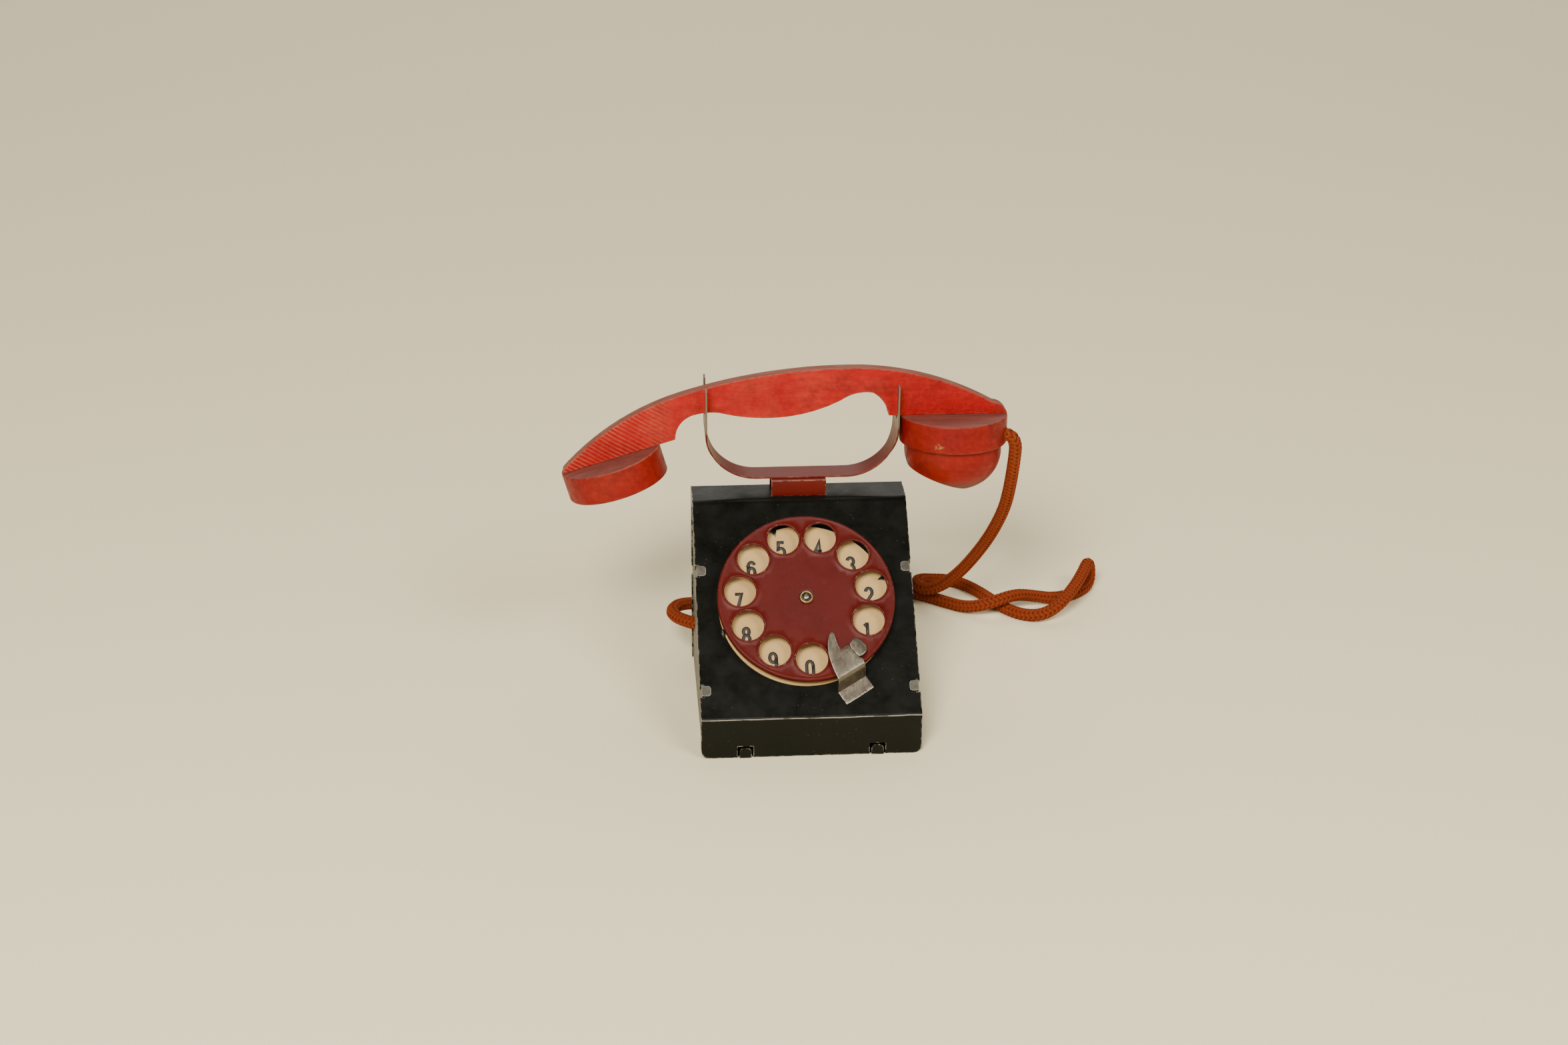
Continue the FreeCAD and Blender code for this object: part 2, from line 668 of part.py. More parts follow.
def make_gong():
    """Small pressed bell dome, open downwards."""
    body = new_body("bell_gong")
    skirt = "gong_top - gong_height"
    profile = outline(new_sketch(body, "gong_section", "XZ_Plane"), [
        ("gong_radius", skirt),
        ("gong_crown", "gong_top", "gong_bow", 1),
        (BORE, "gong_top"),
        (BORE, "gong_top - gong_sheet"),
        ("gong_crown", "gong_top - gong_sheet"),
        ("gong_radius - gong_sheet", skirt, "gong_bow - gong_sheet", -1),
    ])
    turn = body.newObject("PartDesign::Revolution", "gong_turned")
    turn.Profile = profile
    axis = [item for item in body.Origin.OriginFeatures if item.Role == "Z_Axis"][0]
    turn.ReferenceAxis = (axis, [""])
    turn.Angle = 360
    doc.recompute()
    return place(body, GONG_AT)


parts.append(make_gong())


def make_bell_post():
    """Post under the gong, with a shoulder that carries it and a thinner neck through it."""
    body = new_body("bell_post")
    stem = new_sketch(body, "post_section", offset=FLOOR)
    circle(stem, "0", "0", "post_radius + 0.6")
    pad(body, stem, "gong_top - gong_sheet - sheet_gap - %s" % FLOOR)
    neck = new_sketch(body, "neck_section", offset="gong_top - gong_sheet - sheet_gap - 0.5")
    circle(neck, "0", "0", "spindle_radius")
    pad(body, neck, "gong_sheet + sheet_gap + 0.5")
    return place(body, GONG_AT)


parts.append(make_bell_post())


def make_bell_screw():
    body = new_body("bell_screw")
    head = new_sketch(body, "screw_section", offset="gong_top + sheet_gap")
    circle(head, "0", "0", "screw_radius")
    solid = pad(body, head, "screw_height")
    high = number("gong_top + sheet_gap + screw_height")
    fillet_where(body, solid, "screw_height / 2", lambda edge: edge.BoundBox.ZMin > high - 0.01)
    return place(body, GONG_AT)


parts.append(make_bell_screw())


def make_hammer():
    """Striker lever: a strip on the pivot with a ball at its foot, its head by the star wheel."""
    body = new_body("hammer_strip")
    strip = outline(new_sketch(body, "strip_outline", "XZ_Plane"), [
        ("hammer_width / 2", "hammer_ball_height"),
        ("hammer_width / 2", "hammer_top - hammer_width / 2"),
        ("-hammer_width / 2", "hammer_top - hammer_width / 2", "hammer_width / 2 + 0.001", 1),
        ("-hammer_width / 2", "hammer_ball_height"),
    ])
    pad(body, strip, "hammer_sheet", both_ways=True)
    bore = new_sketch(body, "strip_bore", "XZ_Plane")
    circle(bore, "0", "hammer_pivot_height", "pivot_radius + running_gap")
    pocket(body, bore, both_ways=True)
    place(body, ("0", "-hammer_forward", "0"))
    ball = sphere("hammer_ball", "hammer_ball_radius",
                  ("0", "-hammer_forward", "hammer_ball_height"))
    return fused("hammer", body, ball)


parts.append(make_hammer())


def make_hammer_stand():
    """Upright strip with a foot on the bottom plate; the pivot pin stands out of it."""
    body = new_body("hammer_stand")
    section = outline(new_sketch(body, "stand_section", "YZ_Plane"), [
        ("-stand_gap - stand_sheet", FLOOR),
        ("-stand_gap - stand_sheet", "hammer_pivot_height + stand_width / 2"),
        ("-stand_gap", "hammer_pivot_height + stand_width / 2"),
        ("-stand_gap", "%s + stand_sheet" % FLOOR),
        ("stand_foot", "%s + stand_sheet" % FLOOR),
        ("stand_foot", FLOOR),
    ])
    pad(body, section, "stand_width", both_ways=True)
    bore = new_sketch(body, "stand_bore", "XZ_Plane", "stand_gap - 1")
    circle(bore, "0", "hammer_pivot_height", "pivot_radius + 0.02")
    pocket(body, bore, "stand_sheet + 3", backwards=True)
    return place(body, ("0", "-hammer_forward", "0"))


parts.append(make_hammer_stand())


def make_pivot_pin():
    body = new_body("hammer_pin")
    section = new_sketch(body, "pin_section", "XZ_Plane", "-2")
    circle(section, "0", "hammer_pivot_height", "pivot_radius")
    pad(body, section, "stand_gap + stand_sheet + 3")
    return place(body, ("0", "-hammer_forward", "0"))


parts.append(make_pivot_pin())


def make_hammer_spring():
    """Small coil on the pivot pin that brings the hammer back to the middle."""
    body = new_body("hammer_spring")
    gap = "hammer_sheet / 2 + moving_gap"
    section = new_sketch(body, "coil_section", "XZ_Plane", gap)
    circle(section, "0", "hammer_pivot_height", "pivot_radius + 1.0")
    circle(section, "0", "hammer_pivot_height", "pivot_radius + 0.1")
    pad(body, section, "stand_gap - (%s) - 0.05" % gap)
    return place(body, ("0", "-hammer_forward", "0"))


parts.append(make_hammer_spring())

# ---------------------------------------------------------------- cradle


def make_bracket():
    """Inverted U of strip whose legs pass through two slots and turn in under the top."""
    body = new_body("cradle_bracket")
    crown = "body_height + bracket_rise"
    under = "body_height - shell_sheet - sheet_gap"
    sheet = "bracket_sheet"
    front, back = "bracket_front", "bracket_back"
    section = outline(new_sketch(body, "bracket_section", "YZ_Plane"), [
        (front, "%s - %s" % (under, sheet)),
        (front, crown),
        (back, crown),
        (back, "%s - %s" % (under, sheet)),
        ("%s - bracket_foot" % back, "%s - %s" % (under, sheet)),
        ("%s - bracket_foot" % back, under),
        ("%s - %s" % (back, sheet), under),
        ("%s - %s" % (back, sheet), "%s - %s" % (crown, sheet)),
        ("%s + %s" % (front, sheet), "%s - %s" % (crown, sheet)),
        ("%s + %s" % (front, sheet), under),
        ("%s + bracket_foot" % front, under),
        ("%s + bracket_foot" % front, "%s - %s" % (under, sheet)),
    ])
    pad(body, section, "bracket_width", both_ways=True)
    return body


parts.append(make_bracket())

LEAN = "board_lean * 1 deg"
YOKE_LOW = "body_height + bracket_rise"
HALF = "board_sheet / 2"
# Lowest line of the leaning board where each fork holds it.
NECK_LEVEL = "4.6"
LEFT_SEAT = "board_height - (%s) * cos(%s) - %s * sin(%s) - moving_gap" % (
    NECK_LEVEL, LEAN, HALF, LEAN)
RIGHT_SEAT = "board_height - seat_level * cos(%s) - %s * sin(%s) - moving_gap" % (
    LEAN, HALF, LEAN)


def make_yoke():
    """One bent strip: flat on the bracket, round corners, and a wide fork at each end."""
    body = new_body("cradle_yoke")
    sheet = "yoke_sheet"
    turn = "yoke_corner_radius"
    band = outline(new_sketch(body, "yoke_band", "XZ_Plane", "-yoke_middle"), [
        ("yoke_right - %s" % turn, YOKE_LOW),
        ("yoke_right", "%s + %s" % (YOKE_LOW, turn), turn, 1),
        ("yoke_right", "yoke_tip_height"),
        ("yoke_right - %s" % sheet, "yoke_tip_height"),
        ("yoke_right - %s" % sheet, "%s + %s" % (YOKE_LOW, turn)),
        ("yoke_right - %s" % turn, "%s + %s" % (YOKE_LOW, sheet), "%s - %s" % (turn, sheet), -1),
        ("-yoke_left + %s" % turn, "%s + %s" % (YOKE_LOW, sheet)),
        ("-yoke_left + %s" % sheet, "%s + %s" % (YOKE_LOW, turn), "%s - %s" % (turn, sheet), -1),
        ("-yoke_left + %s" % sheet, "yoke_tip_height"),
        ("-yoke_left", "yoke_tip_height"),
        ("-yoke_left", "%s + %s" % (YOKE_LOW, turn)),
        ("-yoke_left + %s" % turn, YOKE_LOW, turn, 1),
    ])
    pad(body, band, "yoke_fork_width", both_ways=True)
    for side, name in ((-1, "front"), (1, "back")):
        # Trims the band from the fork's width down to the strip's.
        wide = "yoke_middle + %d * (yoke_fork_width / 2 + 1)" % side
        narrow = "yoke_middle + %d * yoke_strip_width / 2" % side
        shoulder = "yoke_middle + %d * yoke_fork_width / 2" % side
        trim = outline(new_sketch(body, "trim_" + name, "YZ_Plane"), [
            (wide, "%s - 1" % YOKE_LOW),
            (narrow, "%s - 1" % YOKE_LOW),
            (narrow, "yoke_flare_start"),
            (shoulder, "yoke_flare_end"),
            (wide, "yoke_flare_end"),
        ])
        pocket(body, trim, both_ways=True)
    for name, seat, backwards in (("left", LEFT_SEAT, False), ("right", RIGHT_SEAT, True)):
        slot = box_outline(new_sketch(body, "fork_slot_" + name, "YZ_Plane"),
                           "yoke_middle - fork_slot_width / 2", seat,
                           "yoke_middle + fork_slot_width / 2", "yoke_tip_height + 1")
        pocket(body, slot, "yoke_left + yoke_right", backwards=backwards)
    return body


parts.append(make_yoke())

# ---------------------------------------------------------------- handset

# The handset is drawn upright in its own frame, x along it and z up, and leans back as one.
HANDSET_AT = ("0", "board_place", "board_height")


def lean_back(thing):
    return place(thing, HANDSET_AT, (1, 0, 0), "-%s" % LEAN)


TILT = "earpiece_tilt * 1 deg"
EAR_LEFT = "-board_left"
EAR_LOW = "-earpiece_drop - (board_left - earpiece_place) * tan(%s)" % TILT


def make_board():
    """Sawn board: a bowed back, a hollow for each end piece and a belly under the grip."""
    body = new_body("handset_board")
    heel = "-yoke_left - 11.1"
    heel_level = "-earpiece_drop + (earpiece_place - yoke_left - 11.1) * tan(%s)" % TILT
    neck = "-%s" % NECK_LEVEL
    rim = outline(new_sketch(body, "board_outline", "XZ_Plane"), [
        (EAR_LEFT, EAR_LOW),
        (heel, heel_level),
        ("-yoke_left - 5", "-5.6", "9.5", -1),
        ("-yoke_left + 5.4", neck, "24", -1),
        ("-5.1", "-6.7", "70", 1),
        ("16", "-0.6", "60", 1),
        ("28", "2.0", "16", -1),
        ("yoke_right - 3.6", "-seat_level", "12", -1),
        ("board_right", "-seat_level"),
        ("board_right - 5.4", "-2.7", "6", 1),
        ("24", "board_crown", "110", 1),
        ("-42", "board_crown - 8.5", "215", 1),
        (EAR_LEFT, "%s + 1.2" % EAR_LOW, "98", 1),
    ])
    pad(body, rim, "board_sheet", both_ways=True)
    return lean_back(body)


parts.append(make_board())


def make_earpiece():
    """Plain turned disc on the slanted left end of the board."""
    body = new_body("earpiece_blank")
    sketch = new_sketch(body, "earpiece_section")
    circle(sketch, "0", "0", "earpiece_radius")
    disc = pad(body, sketch, "earpiece_thick", backwards=True)
    low = number("-earpiece_thick")
    fillet_where(body, disc, "1", lambda edge: abs(edge.BoundBox.ZMax - low) < 0.01)
    place(body, ("-earpiece_place", "0", "-earpiece_drop"), (0, 1, 0), "-%s" % TILT)
    return lean_back(carried("earpiece_disc", body))


parts.append(make_earpiece())


def collar_bore():
    """Blind hole for the cord, drilled into the collar's right side."""
    return cylinder("collar_bore", "cord_diameter / 2 + cord_bore_gap", "cord_bore_depth + 3",
                    ("mouth_place + (collar_radius - cord_bore_depth) * cos(20 deg)",
                     "-(collar_radius - cord_bore_depth) * sin(20 deg)",
                     "-seat_level - collar_thick * 0.62"), (0.3420, 0.9397, 0), "90")


def make_collar():
    body = new_body("collar_blank")
    sketch = new_sketch(body, "collar_section", offset="-seat_level")
    circle(sketch, "0", "0", "collar_radius")
    disc = pad(body, sketch, "collar_thick", backwards=True)
    fillet_where(body, disc, "0.8", lambda edge: edge.BoundBox.ZLength < 0.01)
    place(body, ("mouth_place", "0", "0"))
    return lean_back(cut("mouthpiece_collar", body, collar_bore()))


parts.append(make_collar())


def make_cup():
    """Lower tier of the mouthpiece: a turned bowl whose face is cut off on a slant."""
    body = new_body("mouthpiece_cup_blank")
    top = "-seat_level - collar_thick"
    low = "%s - cup_depth" % top
    sketch = new_sketch(body, "cup_section", offset=top)
    circle(sketch, "0", "0", "cup_radius")
    bowl = pad(body, sketch, "cup_depth", backwards=True)
    foot = number(low)
    fillet_where(body, bowl, "cup_round", lambda edge: abs(edge.BoundBox.ZMax - foot) < 0.01
                 and edge.BoundBox.ZLength < 0.01)
    slant = "%s - cup_short_side" % top
    fall = "tan(cup_tilt * 1 deg)"
    trim = outline(new_sketch(body, "cup_trim", "XZ_Plane"), [
        ("-cup_radius - 2", "%s + 2 * %s" % (slant, fall)),
        ("-cup_radius - 2", "%s - 30" % low),
        ("cup_radius + 2", "%s - 30" % low),
        ("cup_radius + 2", "%s - (2 * cup_radius + 2) * %s" % (slant, fall)),
    ])
    pocket(body, trim, both_ways=True)
    place(body, ("mouth_place", "0", "0"))
    return lean_back(carried("mouthpiece_cup", body))


parts.append(make_cup())


def make_nails(label, middle, spread, drop, tilt):
    """Two headless nails through the board into an end piece, square to its seat."""
    buried = "nail_length * 0.6"
    nails = []
    for side in (-1, 1):
        x = "(%s) + %d * (%s) * cos(%s) + %s * sin(%s)" % (middle, side, spread, tilt, buried, tilt)
        z = "(%s) + %d * (%s) * sin(%s) - %s * cos(%s)" % (drop, side, spread, tilt, buried, tilt)
        nails.append(cylinder("%s_%d" % (label, side + 2), "nail_radius", "nail_length",
                              (x, "0", z), (0, 1, 0), "-%s" % tilt))
    return lean_back(fused(label, *nails))


parts.append(make_nails("earpiece_nails", "-earpiece_place + 4", "nail_spread / 2",
                        "-earpiece_drop + 4 * tan(%s)" % TILT, TILT))
parts.append(make_nails("mouthpiece_nails", "mouth_place - 4", "nail_spread / 2", "-seat_level",
                        "0 deg"))

# ---------------------------------------------------------------- cord

# Route of the cord's middle, from the mouthpiece's bore to the knot inside the body.
HANGING = [
    (73.8, 29.7, 96.7), (77.0, 28.5, 96.9), (80.3, 27.3, 96.1), (81.8, 27.2, 92.6),
    (81.8, 28.1, 87.6), (81.6, 30.2, 80.0), (81.3, 33.6, 71.0), (80.8, 38.4, 61.5),
    (79.0, 44.6, 51.0), (76.3, 51.8, 40.0), (72.8, 59.0, 29.6), (68.9, 65.0, 20.5),
]
LYING = [
    (63.6, 69.4, 12.8), (58.0, 71.6, 8.9), (53.8, 75.6, 7.7), (53.2, 82.0, 7.4),
    (55.8, 88.0, 5.2), (60.6, 91.8, 3.0), (67.0, 92.4, 2.4),
    (73.2, 88.8, 2.4), (78.6, 81.6, 2.4), (83.2, 73.4, 2.4), (87.6, 65.6, 2.4),
    (94.0, 59.6, 2.4), (101.4, 56.8, 3.6), (108.0, 59.0, 6.4), (113.2, 65.0, 8.6),
    (117.6, 72.0, 9.8), (121.2, 78.8, 11.2), (124.4, 85.6, 12.6), (126.2, 88.8, 7.5),
    (125.6, 86.4, 2.4), (121.8, 80.4, 2.4), (115.6, 75.6, 2.4),
    (107.8, 73.6, 2.4), (99.8, 72.0, 4.6), (92.6, 67.8, 7.6), (85.2, 63.6, 7.8),
    (78.2, 63.2, 5.4), (71.4, 67.4, 2.6), (64.6, 72.4, 2.4), (58.4, 77.4, 2.4),
    (51.6, 81.8, 2.4), (42.4, 85.2, 2.4), (30.4, 86.0, 2.4), (16.4, 83.6, 2.4),
    (2.4, 78.8, 2.4), (-9.6, 72.6, 2.6), (-20.0, 66.0, 5.2), (-29.4, 60.6, 9.6),
    (-38.4, 55.4, 14.0), (-45.6, 49.0, 16.8), (-48.4, 41.4, 18.0), (-46.6, 34.4, 18.8),
    (-42.0, 29.4, 19.4), (-37.0, 26.2, 19.4), (-33.0, 24.6, 19.4),
]


def tube_path(points):
    """Straight runs joined by tangent arcs, each as large as its two runs allow."""
    points = [Vector(*point) for point in points]
    edges = []
    radii = []
    start = points[0]
    for before, corner, after in zip(points, points[1:], points[2:]):
        back = before - corner
        ahead = after - corner
        reach = 0.45 * min(back.Length, ahead.Length)
        half_turn = (math.pi - back.getAngle(ahead)) / 2
        radii.append(reach / math.tan(half_turn))
        enter = corner + Vector(back).normalize() * reach
        leave = corner + Vector(ahead).normalize() * reach
        bisector = (Vector(back).normalize() + Vector(ahead).normalize()).normalize()
        centre = corner + bisector * (radii[-1] / math.cos(half_turn))
        middle = centre - bisector * radii[-1]
        edges.append(Part.LineSegment(start, enter).toShape())
        edges.append(Part.Arc(enter, middle, leave).toShape())
        start = leave
    edges.append(Part.LineSegment(start, points[-1]).toShape())
    return Part.Wire(edges), radii


def points_direction(points):
    return (Vector(*points[1]) - Vector(*points[0])).normalize()


def make_cord(label, points):
    wire, radii = tube_path(points)
    radius = number("cord_diameter / 2")
    direction = points_direction(points)
    section = Part.Wire(Part.Circle(Vector(*points[0]), direction, radius).toShape())
    tube = wire.makePipeShell([section], True, False)
    expected = math.pi * radius ** 2 * wire.Length
    print("%s: length %.1f, volume %.1f of %.1f, radii %s" % (
        label, wire.Length, tube.Volume, expected, " ".join("%.1f" % value for value in radii)))
    if abs(tube.Volume / expected - 1) > 0.01:
        raise RuntimeError("%s: the tube's volume is wrong" % label)
    cord = doc.addObject("Part::Feature", label)
    cord.Label = label
    cord.Shape = tube
    cord.Placement = FreeCAD.Placement()
    return cord


def meeting_point():
    """Middle of the run where the hanging and the lying stretch meet."""
    return tuple((a + b) / 2 for a, b in zip(HANGING[-1], LYING[0]))


parts.append(make_cord("cord_hanging", HANGING + [meeting_point()]))
parts.append(make_cord("cord_lying", [meeting_point()] + LYING))


def make_knot():
    """Knot that keeps the cord from pulling out through the side panel."""
    return sphere("cord_knot", "knot_radius", LYING[-1])


parts.append(make_knot())

# ---------------------------------------------------------------- check and export

doc.recompute()
for thing in doc.Objects:
    if "Invalid" in thing.State or "Error" in thing.State:
        raise RuntimeError("%s is %s" % (thing.Label, thing.State))
os.makedirs("parts", exist_ok=True)
for part in parts:
    shape = part.Shape
    if shape.isNull() or not shape.isValid() or not shape.Solids:
        raise RuntimeError("%s has no valid solid" % part.Label)
    print("%-18s solids %d volume %9.1f" % (part.Label, len(shape.Solids), shape.Volume))
    shape.exportStep("parts/%s.step" % part.Label)
print("%d nodes" % len(parts))
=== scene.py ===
# A tin toy telephone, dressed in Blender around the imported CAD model.

# %% [markdown]
# ## The frame
# The CAD model gives every piece its true size and place, in metres, with the floor at zero height.
# It could be redrawn here, but then the two would drift apart. So it is loaded as it is, and the
# pieces below either paint a CAD part or stand in for it at the same place.

# %% Load the frame
import json
import math

import bmesh
import bpy
from mathutils import Matrix, Vector
from mathutils.geometry import delaunay_2d_cdt


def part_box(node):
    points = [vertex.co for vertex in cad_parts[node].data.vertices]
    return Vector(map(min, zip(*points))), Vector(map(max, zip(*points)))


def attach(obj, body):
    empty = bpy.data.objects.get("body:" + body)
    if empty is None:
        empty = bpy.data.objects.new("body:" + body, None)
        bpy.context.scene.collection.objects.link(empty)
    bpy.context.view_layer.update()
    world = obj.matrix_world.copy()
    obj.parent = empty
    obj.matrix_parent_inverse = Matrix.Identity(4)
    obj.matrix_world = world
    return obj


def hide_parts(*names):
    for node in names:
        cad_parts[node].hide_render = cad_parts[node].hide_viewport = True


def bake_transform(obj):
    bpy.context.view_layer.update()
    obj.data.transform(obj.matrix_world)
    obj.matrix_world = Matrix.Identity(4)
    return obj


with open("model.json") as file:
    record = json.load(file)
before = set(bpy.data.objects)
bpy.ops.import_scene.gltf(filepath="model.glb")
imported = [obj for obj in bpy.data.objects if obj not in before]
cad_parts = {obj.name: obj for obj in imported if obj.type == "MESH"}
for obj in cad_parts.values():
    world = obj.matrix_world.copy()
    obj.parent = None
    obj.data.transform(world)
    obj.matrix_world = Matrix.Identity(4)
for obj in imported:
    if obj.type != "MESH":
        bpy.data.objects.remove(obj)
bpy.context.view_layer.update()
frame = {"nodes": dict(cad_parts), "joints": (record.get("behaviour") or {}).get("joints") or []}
nodes = frame["nodes"]
MM = 0.001
print("CAD nodes:", len(nodes))


def add_object(name, data):
    """A new object in the scene."""
    made = bpy.data.objects.new(name, data)
    bpy.context.scene.collection.objects.link(made)
    return made


def mesh_from(bm, name, angle=None):
    """A smooth mesh from a bmesh; edges sharper than the angle in degrees stay sharp."""
    mesh = bpy.data.meshes.new(name)
    bm.to_mesh(mesh)
    bm.free()
    mesh.shade_smooth()
    if angle:
        mesh.set_sharp_from_angle(angle=math.radians(angle))
    return mesh


# %% [markdown]
# ## The camera
# The toy is looked down on from in front, a little from the left, through a long lens, so that
# its upright lines stay nearly parallel. Yaw, pitch and roll could be typed in as one rotation.
# Building the three axes by hand shows what each angle does.

# %% Camera
def look_from(place, yaw, pitch, roll, lens):
    """A camera at a place that looks along +Y turned by yaw, down by pitch, and rolled."""
    yaw, pitch, roll = (math.radians(angle) for angle in (yaw, pitch, roll))
    ahead = Vector((math.sin(yaw) * math.cos(pitch), math.cos(yaw) * math.cos(pitch),
                    -math.sin(pitch)))
    level = Vector((math.cos(yaw), -math.sin(yaw), 0))
    upward = level.cross(ahead)
    right = level * math.cos(roll) + upward * math.sin(roll)
    top = upward * math.cos(roll) - level * math.sin(roll)
    data = bpy.data.cameras.new("studio_camera")
    data.sensor_width, data.lens = 36, lens
    camera = add_object("studio_camera", data)
    axes = Matrix((right, top, -ahead)).transposed()
    camera.matrix_world = Matrix.Translation(place) @ axes.to_4x4()
    bpy.context.scene.camera = camera
    return camera


camera = look_from((-0.0778, -0.8833, 0.5053), yaw=4.53, pitch=25.88, roll=0.61, lens=61.33)
print("camera at", [round(value, 3) for value in camera.location])

# %% [markdown]
# ## Reading a smooth line out of a curve
# The cord is one limp line. Its route is a short list of points, and a NURBS spline of order three
# runs smoothly past them. The order and the end rule are set after the points, because set before
# they have no effect. Blender turns a curve with no thickness into a plain chain of points, which
# the braid below can follow.

# %% The cord's line
HANGING = [
    (73.8, 29.7, 96.7), (77.0, 28.5, 96.9), (80.3, 27.3, 96.1), (81.8, 27.2, 92.6),
    (81.8, 28.1, 87.6), (81.6, 30.2, 80.0), (81.3, 33.6, 71.0), (80.8, 38.4, 61.5),
    (79.0, 44.6, 51.0), (76.3, 51.8, 40.0), (72.8, 59.0, 29.6), (68.9, 65.0, 20.5),
]
LYING = [
    (63.6, 69.4, 12.8), (58.0, 71.6, 8.9), (53.8, 75.6, 7.7), (53.2, 82.0, 7.4),
    (55.8, 88.0, 5.2), (60.6, 91.8, 3.0), (67.0, 92.4, 2.4),
    (73.2, 88.8, 2.4), (78.6, 81.6, 2.4), (83.2, 73.4, 2.4), (87.6, 65.6, 2.4),
    (94.0, 59.6, 2.4), (101.4, 56.8, 3.6), (108.0, 59.0, 6.4), (113.2, 65.0, 8.6),
    (117.6, 72.0, 9.8), (121.2, 78.8, 11.2), (124.4, 85.6, 12.6), (126.2, 88.8, 7.5),
    (125.6, 86.4, 2.4), (121.8, 80.4, 2.4), (115.6, 75.6, 2.4),
    (107.8, 73.6, 2.4), (99.8, 72.0, 4.6), (92.6, 67.8, 7.6), (85.2, 63.6, 7.8),
    (78.2, 63.2, 5.4), (71.4, 67.4, 2.6), (64.6, 72.4, 2.4), (58.4, 77.4, 2.4),
    (51.6, 81.8, 2.4), (42.4, 85.2, 2.4), (30.4, 86.0, 2.4), (16.4, 83.6, 2.4),
    (2.4, 78.8, 2.4), (-9.6, 72.6, 2.6), (-20.0, 66.0, 5.2), (-29.4, 60.6, 9.6),
    (-38.4, 55.4, 14.0), (-45.6, 49.0, 16.8), (-48.4, 41.4, 18.0), (-46.6, 34.4, 18.8),
    (-42.0, 29.4, 19.4), (-37.0, 26.2, 19.4), (-33.0, 24.6, 19.4),
]


def smooth_line(route, steps=14):
    """Points along a NURBS spline that has the route's points as its control points."""
    data = bpy.data.curves.new("line", "CURVE")
    data.dimensions = "3D"
    spline = data.splines.new("NURBS")
    spline.points.add(len(route) - 1)
    for point, place in zip(spline.points, route):
        point.co = (*place, 1)
    spline.order_u = 3
    spline.use_endpoint_u = True
    spline.resolution_u = steps
    line = add_object("line", data)
    mesh = bpy.data.meshes.new_from_object(line)
    points = [vertex.co.copy() for vertex in mesh.vertices]
    bpy.data.objects.remove(line)
    return points


def even_steps(points, step):
    """The same line with its points a constant step apart, and its whole length."""
    total = sum((b - a).length for a, b in zip(points, points[1:]))
    count = round(total / step)
    made, travelled, index = [points[0]], 0.0, 0
    for number in range(1, count):
        target = total * number / count
        while travelled + (points[index + 1] - points[index]).length < target:
            travelled += (points[index + 1] - points[index]).length
            index += 1
        run = points[index + 1] - points[index]
        made.append(points[index] + run * ((target - travelled) / run.length))
    return made + [points[-1]], total


cord_route = [Vector(point) * MM for point in HANGING + LYING]
CORD_STEP = 0.00052
cord_points, cord_length = even_steps(smooth_line(cord_route), CORD_STEP)
print("cord: %d points, %.1f mm" % (len(cord_points), cord_length / MM))

# %% [markdown]
# ## The braid
# The real cord is a cotton tube braided by sixteen bobbins, eight going round each way, and each
# strand passes over two and under two. A bump map could draw that, but its edge would stay a smooth
# tube. Here each strand is a real ribbon that winds round the line. Where one set rises the other
# dips, by a cosine of four times the angle, and that alone gives the herringbone columns.

# %% Frames along a line
def moving_frames(points):
    """Tangent, normal and side at each point, carried along the line with no twist."""
    tangents = [(after - before).normalized() for before, after in zip(points, points[1:])]
    tangents.append(tangents[-1])
    normal = tangents[0].orthogonal().normalized()
    frames = []
    for tangent in tangents:
        normal = (normal - tangent * normal.dot(tangent)).normalized()
        frames.append((tangent, normal.copy(), tangent.cross(normal)))
    return frames


def put_mesh(name, vertices, faces):
    mesh = bpy.data.meshes.new(name)
    mesh.from_pydata(vertices, [], faces)
    mesh.validate()
    mesh.shade_smooth()
    return add_object(name, mesh)


# %% Weave the strands
BRAID_PITCH = 0.0138
STRANDS_EACH_WAY = 8
BRAID_RADIUS = 0.00200
BRAID_RISE = 0.00027
STRAND_HALF_WIDTH = 0.00062
STRAND_HALF_HEIGHT = 0.00027
CORE_RADIUS = 0.00172
CORE_SIDES = 12
# Outline of one flat strand, two rounded yarns side by side, as (across, out) shares.
SECTION = [(-1.0, 0.0), (-0.78, 0.8), (-0.48, 1.0), (-0.16, 0.72), (0.0, 0.42), (0.16, 0.72),
           (0.48, 1.0), (0.78, 0.8), (1.0, 0.0), (0.5, -0.8), (-0.5, -0.8)]


